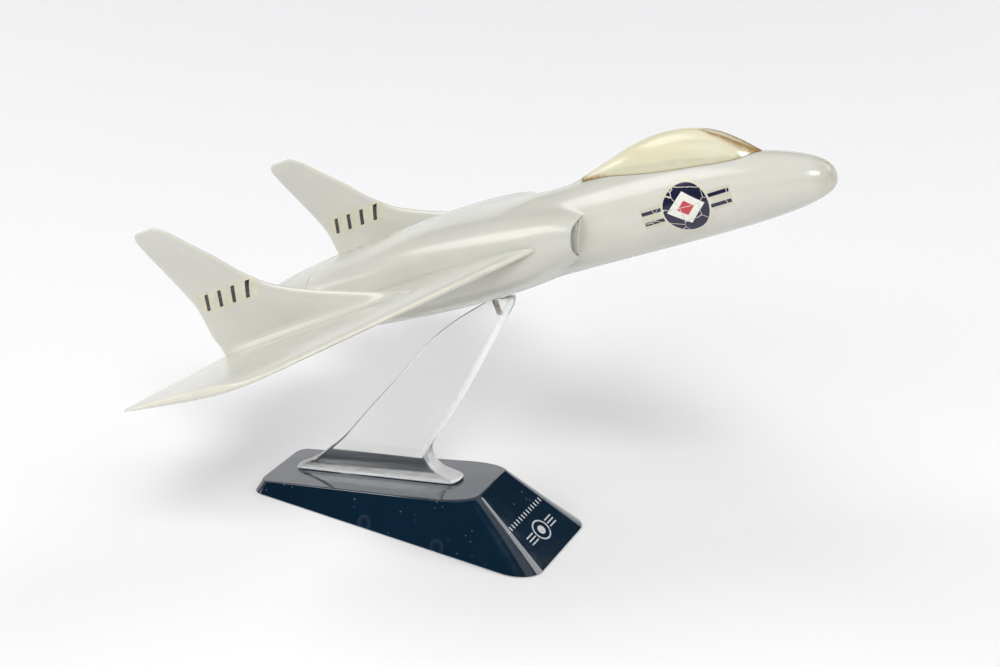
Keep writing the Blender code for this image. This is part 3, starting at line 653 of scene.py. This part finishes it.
def make_pin(brass):
    low = Vector(to_world(np.array([PIN_STATION, 0.0, PIN_BOTTOM_H]))) / MM
    length = PIN_TOP_H - PIN_BOTTOM_H
    ends = [(0, 0.5), (0.15, 0.85), (0.5, PIN_RADIUS)]
    profile = ends + [(z, PIN_RADIUS) for z in np.linspace(1, length - 1, 12)]
    profile += [(length - z, r) for z, r in reversed(ends)]
    grid = lathe(profile, low, SWIVEL["axis"], 48)
    obj = build("pin_rod", "pin", "brass", brass, grid)
    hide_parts("support_pin")


def top_height(x):
    along = (x - TOP_REAR_X) / (TOP_FRONT_X - TOP_REAR_X)
    return TOP_REAR_Z + (TOP_FRONT_Z - TOP_REAR_Z) * along


def plan(rear_x, front_x, rear_w, front_w, rear_r, front_r, steps=16):
    """Rounded, tapered outline seen from above; each corner's radii are (along x, along y)."""
    corners = ((front_x, front_w, front_r, 0.0), (rear_x, rear_w, rear_r, 0.5),
               (rear_x, -rear_w, rear_r, 1.0), (front_x, -front_w, front_r, 1.5))
    ring = []
    for x, y, (long, wide), start in corners:
        centre = (x - math.copysign(long, x), y - math.copysign(wide, y))
        for turn in np.linspace(start, start + 0.5, steps + 1) * math.pi:
            ring.append((centre[0] + long * math.cos(turn), centre[1] + wide * math.sin(turn)))
    return np.array(ring)


def base_plans():
    """Outlines of the base: foot, crest, flat top, seat of the plate, room inside and sole."""
    def less(corner, by):
        return corner[0] - by, corner[1] - by

    foot = plan(BASE_REAR_X, BASE_FRONT_X, BASE_REAR_W, BASE_FRONT_W, REAR_CORNER, FOOT_CORNER)
    crest = plan(TOP_REAR_X, TOP_FRONT_X, TOP_REAR_W, TOP_FRONT_W, REAR_CORNER, CREST_CORNER)
    flat = plan(TOP_REAR_X + TOP_ROUND, TOP_FRONT_X - TOP_ROUND, TOP_REAR_W - TOP_ROUND,
                TOP_FRONT_W - TOP_ROUND, less(REAR_CORNER, TOP_ROUND), less(CREST_CORNER, TOP_ROUND))
    seat = plan(-SEAT_X, SEAT_X, SEAT_W, SEAT_W, INNER_CORNER, INNER_CORNER)
    room = plan(ROOM_REAR_X, ROOM_FRONT_X, ROOM_W, ROOM_W, INNER_CORNER, INNER_CORNER)
    sole = plan(BASE_REAR_X + SOLE_ROUND, BASE_FRONT_X - SOLE_ROUND, BASE_REAR_W - SOLE_ROUND,
                BASE_FRONT_W - SOLE_ROUND, less(REAR_CORNER, SOLE_ROUND),
                less(FOOT_CORNER, SOLE_ROUND))
    return foot, crest, flat, seat, room, sole


def make_base(gloss):
    foot, crest, inset, seat, room, sole = base_plans()

    def ring(outline, height):
        z = height(outline[:, 0]) if callable(height) else np.full(len(outline), height)
        return np.column_stack([outline, z])

    foot_ring, crest_ring = ring(foot, BASE_FLOOR), ring(crest, top_height)
    inset_ring = ring(inset, top_height)
    rows = [ring(room, lambda x: top_height(x) - ROOF_THICK), ring(room, SEAT_TOP_Z),
            ring(seat, SEAT_TOP_Z), ring(seat, BASE_FLOOR), ring(sole, BASE_FLOOR)]
    under = foot_ring + (crest_ring - foot_ring) * 0.03
    rows += [foot_ring * (1 - t) + under * t for t in (0.4, 1.0)]
    rows += [foot_ring + (crest_ring - foot_ring) * t for t in np.linspace(0.08, 0.92, 14)]
    edge = foot_ring + (crest_ring - foot_ring) * 0.97
    for t in np.linspace(0.1, 1, 9):
        rows.append((1 - t) ** 2 * edge + 2 * t * (1 - t) * crest_ring + t * t * inset_ring)
    middle = inset_ring.mean(0)
    for t in (0.99, 0.97, 0.9, 0.7, 0.45, 0.2):
        flat = middle + (inset_ring - middle) * t
        flat[:, 2] = top_height(flat[:, 0])
        rows.append(flat)
    grid = np.array(rows) * MM
    obj = build("base_block", "stand", "navy_plastic", gloss, grid, sharp=45)
    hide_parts("base_shell")


# ---- shader tools ----
class Shade:
    """A material and short ways to add nodes to it."""

    def __init__(self, name, **numbers):
        self.material = bpy.data.materials.new(name)
        self.material.use_nodes = True
        self.nodes, self.links = self.material.node_tree.nodes, self.material.node_tree.links
        self.shader = self.nodes["Principled BSDF"]
        for socket, value in numbers.items():
            self.shader.inputs[socket.replace("_", " ")].default_value = value

    def put(self, value, socket):
        if isinstance(value, bpy.types.NodeSocket):
            self.links.new(value, socket)
        else:
            socket.default_value = value

    def use(self, socket, value):
        self.put(value, self.shader.inputs[socket])

    def node(self, kind, **inputs):
        """A new node, its inputs joined to sockets or set to values."""
        node = self.nodes.new("ShaderNode" + kind)
        for name, value in inputs.items():
            self.put(value, node.inputs[name.replace("_", " ")])
        return node

    def mark(self, name, output="Fac"):
        """A vertex attribute."""
        node = self.node("Attribute")
        node.attribute_name = name
        return node.outputs[output]

    def object_place(self):
        return self.node("TexCoord").outputs["Object"]

    def parts(self, vector):
        return self.node("SeparateXYZ", Vector=vector).outputs

    def vector_math(self, operation, vector, other):
        node = self.node("VectorMath")
        node.operation = operation
        self.put(vector, node.inputs[0])
        self.put(other, node.inputs[1])
        return node.outputs[0]

    def math(self, operation, *values, clamp=False):
        node = self.node("Math")
        node.operation, node.use_clamp = operation, clamp
        for value, socket in zip(values, node.inputs):
            self.put(value, socket)
        return node.outputs[0]

    def plus(self, a, b):
        return self.math("ADD", a, b)

    def minus(self, a, b):
        return self.math("SUBTRACT", a, b)

    def size(self, value):
        return self.math("ABSOLUTE", value)

    def larger(self, a, b):
        return self.math("MAXIMUM", a, b)

    def length(self, a, b):
        return self.math("SQRT", self.plus(*[self.math("POWER", side, 2.0) for side in (a, b)]))

    def times(self, *values):
        product = values[0]
        for value in values[1:]:
            product = self.math("MULTIPLY", product, value)
        return product

    def noise(self, vector, scale, detail=3.0, rough=0.5, low=0.0, high=1.0):
        node = self.node("TexNoise", Vector=vector, Scale=scale, Detail=detail, Roughness=rough)
        return self.span(node.outputs["Fac"], low, high)

    def cells(self, vector, scale, feature="DISTANCE_TO_EDGE"):
        node = self.node("TexVoronoi", Vector=vector, Scale=scale)
        node.feature = feature
        return node.outputs["Distance"]

    def span(self, value, low, high):
        """0 below low, 1 above high."""
        node = self.node("MapRange", Value=value, From_Min=low, From_Max=high)
        node.clamp = True
        return node.outputs["Result"]

    def box(self, u, v, half_u, half_v, soft):
        """1 inside a rectangle about the origin of (u, v)."""
        side = self.minus(self.size(u), half_u)
        end = self.minus(self.size(v), half_v)
        return self.span(self.larger(side, end), soft, -soft)

    def mix(self, amount, a, b):
        node = self.node("Mix")
        node.data_type = "RGBA"
        self.put(amount, node.inputs["Factor"])
        self.put((*a, 1.0) if isinstance(a, tuple) else a, node.inputs["A"])
        self.put((*b, 1.0) if isinstance(b, tuple) else b, node.inputs["B"])
        return node.outputs["Result"]

    def bump(self, height, strength, distance):
        node = self.node("Bump", Strength=strength, Distance=distance, Height=height)
        self.use("Normal", node.outputs[0])

    def roughness(self, least, extra, noise):
        self.use("Roughness", self.plus(least, self.times(noise, extra)))

    def swing(self, place, scale, amount):
        """A wander of either sign, half its amount at most."""
        return self.times(self.minus(self.noise(place, scale, 4.0), 0.5), amount)


def nose_mark(shade, colour, craft, s, h):
    """A worn round transfer: navy disc, cream lozenge and two thin lines each side."""
    u, v = shade.minus(s, MARK_S), shade.minus(h, MARK_H)
    wobble = shade.swing(craft, 0.35, 1.6)
    distance = shade.length(u, v)
    uneven = shade.plus(distance, wobble)
    film = shade.span(uneven, MARK_RADIUS + 1.6, MARK_RADIUS + 1.4)
    edge = shade.plus(v, shade.times(wobble, 0.3))
    wings = shade.box(u, edge, MARK_RADIUS * 2.02, 3.9, 0.1)
    film = shade.larger(film, wings)
    rim = shade.times(film, shade.span(uneven, MARK_RADIUS + 1.1, MARK_RADIUS + 1.45))
    colour = shade.mix(shade.times(film, 0.45), colour, (0.62, 0.58, 0.42))
    colour = shade.mix(shade.times(rim, 0.18), colour, (0.30, 0.28, 0.22))
    disc = shade.span(distance, MARK_RADIUS + 0.06, MARK_RADIUS - 0.06)
    lozenge = shade.plus(shade.math("DIVIDE", shade.size(u), 7.6),
                         shade.math("DIVIDE", shade.size(v), 6.2))
    inner = shade.span(lozenge, 1.01, 0.99)
    core = shade.span(lozenge, 0.47, 0.45)
    bars = shade.size(shade.minus(shade.size(v), 2.0))
    ends = shade.span(shade.size(u), MARK_RADIUS * 1.96, MARK_RADIUS * 1.95)
    lines = shade.times(shade.span(bars, 0.75, 0.62), ends,
                        shade.span(distance, MARK_RADIUS + 0.7, MARK_RADIUS + 0.8))
    cracks = shade.span(shade.cells(shade.vector_math("ADD", craft, wobble), 0.13), 0.010, 0.018)
    chips = shade.span(shade.noise(craft, 2.2, 5.0, 0.7), 0.24, 0.28)
    whole = shade.times(cracks, chips)
    ink = shade.mix(shade.noise(craft, 1.1, 3.0), (0.006, 0.007, 0.030), (0.016, 0.016, 0.050))
    cream = shade.mix(shade.noise(craft, 0.7), (0.80, 0.79, 0.74), (0.70, 0.69, 0.62))
    colour = shade.mix(shade.times(shade.larger(disc, lines), whole), colour, ink)
    colour = shade.mix(shade.times(inner, whole), colour, cream)
    colour = shade.mix(shade.times(core, whole), colour, (0.50, 0.045, 0.06))
    return colour


def fin_label(shade, colour, craft, s, h):
    """An aged paper label with four slanted dark bars."""
    u = shade.minus(s, LABEL_S)
    lean = shade.times(u, LABEL_TILT)
    v = shade.minus(shade.minus(h, LABEL_H), lean)
    wobble = shade.swing(craft, 0.9, 0.7)
    label = shade.box(shade.plus(u, wobble), shade.plus(v, wobble),
                     *LABEL_HALF, 0.06)
    stain = shade.noise(craft, 0.25, 5.0, 0.65, 0.3, 0.7)
    paper = shade.mix(stain, (0.66, 0.64, 0.52), (0.55, 0.52, 0.38))
    colour = shade.mix(shade.times(label, 0.85), colour, paper)
    lean_u = shade.plus(u, shade.times(v, 0.35))
    cycle = shade.math("PINGPONG", shade.plus(lean_u, 4.0), 4.0)
    bar = shade.times(shade.span(cycle, 1.15, 1.0),
                     shade.box(u, v, LABEL_HALF[0] - 2.2, LABEL_HALF[1] - 1.3, 0.06))
    worn = shade.span(shade.noise(craft, 1.8, 5.0, 0.7), 0.33, 0.38)
    ink = shade.mix(shade.noise(craft, 0.8), (0.008, 0.008, 0.010), (0.035, 0.034, 0.034))
    return shade.mix(shade.times(bar, worn), colour, ink)


def acetate(name, mark=None):
    """Old polished acetate: warm grey, creamed along its edges and in long streaks."""
    shade = Shade(name, Roughness=0.2, IOR=1.48, Coat_Weight=0.2, Coat_Roughness=0.12)
    craft = shade.mark("craft", "Vector")
    s, _, h = shade.parts(craft)
    cloud = shade.noise(craft, 0.035, 3.0, 0.5, 0.35, 0.7)
    along = shade.vector_math("MULTIPLY", craft, (0.25, 1.0, 1.0))
    streak = shade.noise(along, 0.12, 3.0, 0.5, 0.40, 0.80)
    grey = shade.mix(cloud, (0.550, 0.546, 0.504), (0.603, 0.596, 0.541))
    colour = shade.mix(shade.times(streak, 0.28), grey, (0.66, 0.64, 0.50))
    edge = shade.mark("edge")
    ragged = shade.times(edge, shade.noise(craft, 0.22, 4.0, 0.6, 0.15, 0.55))
    colour = shade.mix(shade.times(ragged, 0.6), colour, (0.74, 0.71, 0.58))
    tip = shade.times(shade.span(s, 7.0, 0.5), shade.noise(craft, 0.4, 4.0, 0.6, 0.2, 0.7))
    colour = shade.mix(shade.times(tip, 0.6), colour, (0.36, 0.31, 0.20))
    specks = shade.span(shade.cells(craft, 0.35, "F1"), 0.10, 0.05)
    rare = shade.noise(craft, 0.06, 2.0, 0.5, 0.60, 0.66)
    colour = shade.mix(shade.times(specks, rare, 0.45), colour, (0.20, 0.19, 0.17))
    if mark == "nose":
        colour = nose_mark(shade, colour, craft, s, h)
    if mark == "fin":
        colour = fin_label(shade, colour, craft, s, h)
    shade.use("Base Color", colour)
    haze = shade.noise(craft, 0.09, 1.0, 0.5, 0.3, 0.75)
    shade.roughness(0.18, 0.08, haze)
    longer = shade.vector_math("MULTIPLY", craft, (0.4, 1.0, 1.0))
    waves = shade.noise(longer, 0.06, 0.0)
    shade.bump(waves, 0.15, 0.0005)
    return shade.material


def yellowed():
    shade = Shade("yellowed_canopy", IOR=1.47, Transmission_Weight=0.35, Coat_Weight=0.15,
                  Coat_Roughness=0.08)
    craft = shade.mark("craft", "Vector")
    cloud = shade.noise(craft, 0.06, 3.0, 0.5, 0.3, 0.7)
    colour = shade.mix(cloud, (0.93, 0.900, 0.715), (0.91, 0.865, 0.600))
    amber = shade.mark("amber")
    ragged = shade.times(amber, shade.noise(craft, 0.5, 3.0, 0.6, 0.1, 0.5))
    colour = shade.mix(ragged, colour, (0.42, 0.24, 0.07))
    # greyish-green painted view of the grey body seen through the canopy, in the band above the foot
    sill = shade.mark("sill")
    patchy_sill_view = shade.times(sill, shade.noise(craft, 0.15, 2.0, 0.5, 0.0, 0.8))
    colour = shade.mix(patchy_sill_view, colour, (0.74, 0.74, 0.57))
    shade.use("Base Color", colour)
    haze = shade.noise(craft, 0.2, 4.0, 0.6, 0.3, 0.8)
    shade.roughness(0.14, 0.10, haze)
    shade.bump(shade.noise(craft, 0.12, 2.0), 0.1, 0.0004)
    return shade.material


def acrylic():
    shade = Shade("clear_stem", IOR=1.49, Transmission_Weight=1.0)
    spot = shade.object_place()
    z = shade.parts(spot)[2]
    top = shade.span(z, 0.1135, 0.1150)
    tint = shade.mix(shade.noise(spot, 60.0, 3.0), (0.975, 0.98, 0.975), (0.955, 0.96, 0.950))
    uneven = shade.noise(spot, 120.0, 2.0, 0.5, -0.6, 0.6)
    rim = shade.times(shade.mark("rim"), uneven)
    front = shade.mark("front")
    brown = shade.times(shade.mark("rear"), 0.7)
    colour = shade.mix(shade.larger(top, brown), tint, (0.80, 0.71, 0.56))
    shade.use("Base Color", shade.mix(rim, colour, (0.90, 0.91, 0.93)))
    milky = shade.plus(shade.times(rim, 0.75), shade.times(front, 0.35))
    shade.use("Transmission Weight", shade.math("SUBTRACT", 1.0, milky, clamp=True))
    fine = shade.noise(spot, 90.0, 2.0, 0.5, 0.1, 12.0)
    dull = shade.times(shade.larger(rim, front), 0.12)
    shade.use("Roughness", shade.plus(fine, dull))
    shade.bump(shade.noise(spot, 25.0, 1.0), 0.03, 0.0003)
    return shade.material


EJECTOR_MARKS = ((-0.012, 0.0024), (0.026, 0.0024))     # centres of two faint rings: x and z


def navy():
    shade = Shade("navy_gloss", IOR=1.5, Coat_Weight=1.0, Coat_Roughness=0.04, Coat_IOR=1.55)
    spot = shade.object_place()
    cloud = shade.noise(spot, 25.0, 4.0, 0.6, 0.3, 0.7)
    deep = shade.mix(cloud, (0.0003, 0.0100, 0.024), (0.0010, 0.0150, 0.034))
    dust = shade.span(shade.cells(spot, 330.0, "F1"), 0.16, 0.08)
    some = shade.noise(spot, 70.0, 2.0, 0.5, 0.56, 0.62)
    colour = shade.mix(shade.times(dust, some, 0.5), deep, (0.30, 0.30, 0.30))
    x, y, z = shade.parts(spot)
    near = shade.span(y, -0.018, -0.020)
    for ring_x, ring_z in EJECTOR_MARKS:
        off = shade.length(shade.minus(x, ring_x), shade.minus(z, ring_z))
        ring = shade.times(shade.span(off, 0.0036, 0.0033), shade.span(off, 0.001, 0.0034), near)
        colour = shade.mix(shade.times(ring, 0.5), colour, (0.035, 0.05, 0.07))
    colour = front_marks(shade, colour, spot)
    shade.use("Base Color", colour)
    haze = shade.noise(spot, 120.0, 5.0, 0.65, 0.35, 0.8)
    shade.roughness(0.07, 0.12, haze)
    shade.bump(shade.noise(spot, 45.0, 3.0), 0.12, 0.0006)
    return shade.material


def front_marks(shade, colour, spot):
    """Pale marks on the base's front slope: a ring with a dot, and a row of short ticks."""
    x, y, _ = shade.parts(spot)
    front = shade.span(x, 0.0405, 0.0425)
    u = shade.times(y, 1000.0)
    along = shade.times(shade.minus(x, 0.0635), 1227.0)
    far = shade.length(u, along)
    ring = shade.span(shade.size(shade.minus(far, 4.6)), 0.42, 0.3)
    dot = shade.span(far, 2.2, 2.0)
    tick_place = shade.plus(along, 9.7)
    cycle = shade.math("PINGPONG", u, 1.15)
    row = shade.box(u, tick_place, 15.8, 1.1, 0.06)
    ticks = shade.times(shade.span(cycle, 0.42, 0.30), row)
    beside = shade.minus(shade.size(u), 8.6)
    slats = shade.span(shade.math("PINGPONG", along, 0.9), 0.36, 0.26)
    slats = shade.times(slats, shade.box(beside, along, 2.8, 3.2, 0.06))
    marks = shade.larger(shade.larger(ring, dot), shade.larger(ticks, slats))
    worn = shade.noise(spot, 900.0, 4.0, 0.7, 0.32, 0.42)
    return shade.mix(shade.times(marks, worn, front), colour, (0.62, 0.64, 0.66))


def grained(name, light, deep, cloud, rough, grain, pits, depth, stretch=None, **numbers):
    """Two colours in clouds, uneven roughness and a fine bump, each from a noise."""
    shade = Shade(name, **numbers)
    spot = shade.object_place()
    shade.use("Base Color", shade.mix(shade.noise(spot, *cloud), light, deep))
    shade.roughness(rough, 0.2, shade.noise(spot, *grain))
    if stretch:
        spot = shade.vector_math("MULTIPLY", spot, stretch)
    shade.bump(shade.noise(spot, pits, 3.0), depth, 0.0002)
    return shade.material


def metal(name, light, deep, rough):
    return grained(name, light, deep, (300.0, 5.0, 0.6, 0.3, 0.7), rough, (700.0, 4.0), 500.0, 0.08,
                   stretch=(1.0, 1.0, 6.0), Metallic=1.0)


def dark_insert():
    return grained("moulded_insert", (0.56, 0.56, 0.52), (0.48, 0.48, 0.45),
                   (90.0, 4.0, 0.6, 0.3, 0.7), 0.35, (400.0,), 700.0, 0.1, IOR=1.46)


def rubber():
    return grained("rubber_sheet", (0.018, 0.018, 0.018), (0.035, 0.034, 0.033), (200.0, 4.0), 0.7,
                   (900.0,), 1500.0, 0.3, IOR=1.45)


def dress_hidden(brass, steel, rubber_sheet):
    """CAD nodes that stay as they are: a finish and eased edges."""
    kinds = {"pin_socket": brass, "base_pad": rubber_sheet, "nose_ballast": steel,
             "base_ballast": steel, "base_plate": steel, "wing_dowel_front": steel,
             "wing_dowel_rear": steel}
    kinds.update({f"base_screw_{i}": steel for i in range(1, 5)})
    for name, material in kinds.items():
        node = frame["nodes"][name]
        node.data.materials.clear()
        node.data.materials.append(material)
        ease = node.modifiers.new("eased_edges", "BEVEL")
        ease.width, ease.segments, ease.limit_method = 0.00012, 2, "ANGLE"


# ---- stage ----
PAPER = (0.90, 0.90, 0.91)
FLOOR_HALF, SWEEP_RADIUS, SWEEP_HEIGHT, SWEEP_CURVE = 6.0, 1.9, 0.75, 0.3
VIEW_TURNS = (24.99, 27.11, 0.29)       # elevation, azimuth and roll in degrees
VIEW_PLACE, VIEW_LENS = (0.31871, -0.53888, 0.37911), 57.95
LIGHTS = (      # name, place, aim, sides, watts and whether it shows in reflections
    ("overhead", (0, 0.5, 2.3), (0, 0.3, 0), (2.6, 2.4), 10, True),
    ("fill_left", (-2.2, -0.9, 2.4), (0, 0.1, 0.05), (2.0, 1.7), 42, True),
    ("fill_right", (1.5, 1.3, 1.9), (0, 0.2, 0.05), (1.4, 1.2), 16, True),
    ("key", (1.31, -1.81, 2.27), (0, 0, 0.1), (0.85, 0.85), 54, True),
    ("fill_front", (-0.7, -2.3, 1.5), (0, 0, 0.1), (1.8, 0.7), 17, False),
    ("low_left", (-1.7, -0.55, 0.5), (0.05, 0, 0.15), (0.5, 0.35), 2.2, True))


def plain(name, colour, roughness):
    shade = Shade(name, Roughness=roughness, Specular_IOR_Level=0.2)
    faint = tuple(part * 0.995 for part in colour)
    shade.use("Base Color", shade.mix(shade.noise(shade.object_place(), 3.0), colour, faint))
    return shade.material


def paper_sheet(name, material_name, points, faces):
    mesh = bpy.data.meshes.new(name)
    mesh.from_pydata(points, [], faces)
    mesh.shade_smooth()
    mesh.materials.append(plain(material_name, PAPER, 0.8))
    add(name, mesh)


def make_floor():
    size = FLOOR_HALF
    corners = [(-size, -size, 0), (size, -size, 0), (size, size, 0), (-size, size, 0)]
    paper_sheet("floor", "paper", corners, [(0, 1, 2, 3)])


def make_sweep():
    """A low white wall that curves up from the floor round the back of the set."""
    angles = np.linspace(-0.10, 1.10, 60) * math.pi
    start = SWEEP_RADIUS - SWEEP_CURVE
    profile = [(start + SWEEP_CURVE * math.sin(t), SWEEP_CURVE * (1 - math.cos(t)))
               for t in np.linspace(0, math.pi / 2, 12)] + [(SWEEP_RADIUS, SWEEP_HEIGHT)]
    grid = np.array([[(r * math.cos(a), r * math.sin(a), z) for a in angles] for r, z in profile])
    faces = sheet(grid, around=False, ends=False)
    paper_sheet("sweep", "sweep_paper", grid.reshape(-1, 3).tolist(), faces)


def make_light(name, place, aim, sides, power, mirrored):
    data = bpy.data.lights.new(name, "AREA")
    data.shape = "RECTANGLE"
    data.size, data.size_y = sides
    data.energy = power
    light = add(name, data)
    light.location = place
    light.rotation_euler = (Vector(aim) - Vector(place)).to_track_quat("-Z", "Y").to_euler()
    light.visible_glossy = mirrored


def make_camera():
    """The photo's view, as a fit of the model to the photo gave it."""
    elevation, azimuth, roll = (math.radians(a) for a in VIEW_TURNS)
    right = Vector((math.cos(azimuth), math.sin(azimuth), 0))
    level = Vector((math.sin(azimuth), -math.cos(azimuth), 0))
    back = level * math.cos(elevation) + Vector((0, 0, math.sin(elevation)))
    up = back.cross(right)
    side = right * math.cos(roll) + up * math.sin(roll)
    top = up * math.cos(roll) - right * math.sin(roll)
    data = bpy.data.cameras.new("camera")
    data.lens, data.sensor_width = VIEW_LENS, 36.0
    camera = add("camera", data)
    turn = Matrix((side, top, back)).transposed().to_4x4()
    camera.matrix_world = Matrix.Translation(VIEW_PLACE) @ turn
    bpy.context.scene.camera = camera


def make_stage():
    make_floor()
    make_sweep()
    for light in LIGHTS:
        make_light(*light)
    world = bpy.data.worlds.new("studio")
    world.use_nodes = True
    backdrop = world.node_tree.nodes["Background"]
    backdrop.inputs["Color"].default_value = (0.97, 0.98, 1.0, 1.0)
    backdrop.inputs["Strength"].default_value = 0.04
    bpy.context.scene.world = world
    bpy.context.scene.view_settings.view_transform = "Standard"


# ---- the whole set ----
paint = acetate("aged_acetate")
brass = metal("old_brass", (0.72, 0.52, 0.25), (0.50, 0.33, 0.14), 0.28)
steel = metal("dull_steel", (0.50, 0.50, 0.52), (0.36, 0.36, 0.38), 0.3)
dark = dark_insert()
make_body(acetate("aged_acetate_body", "nose"))
make_tail(paint)
fin_paint = acetate("aged_acetate_fin", "fin")
for side_name, side in (("left", 1), ("right", -1)):
    make_pipe(side_name, side, dark)
    make_duct(side_name, side, dark)
    make_wing(side_name, side, paint)
    make_fin(side_name, side, fin_paint)
make_canopy(yellowed())
make_fairing(paint)
make_stem(acrylic())
make_pin(brass)
make_base(navy())
dress_hidden(brass, steel, rubber())
make_stage()
make_camera()
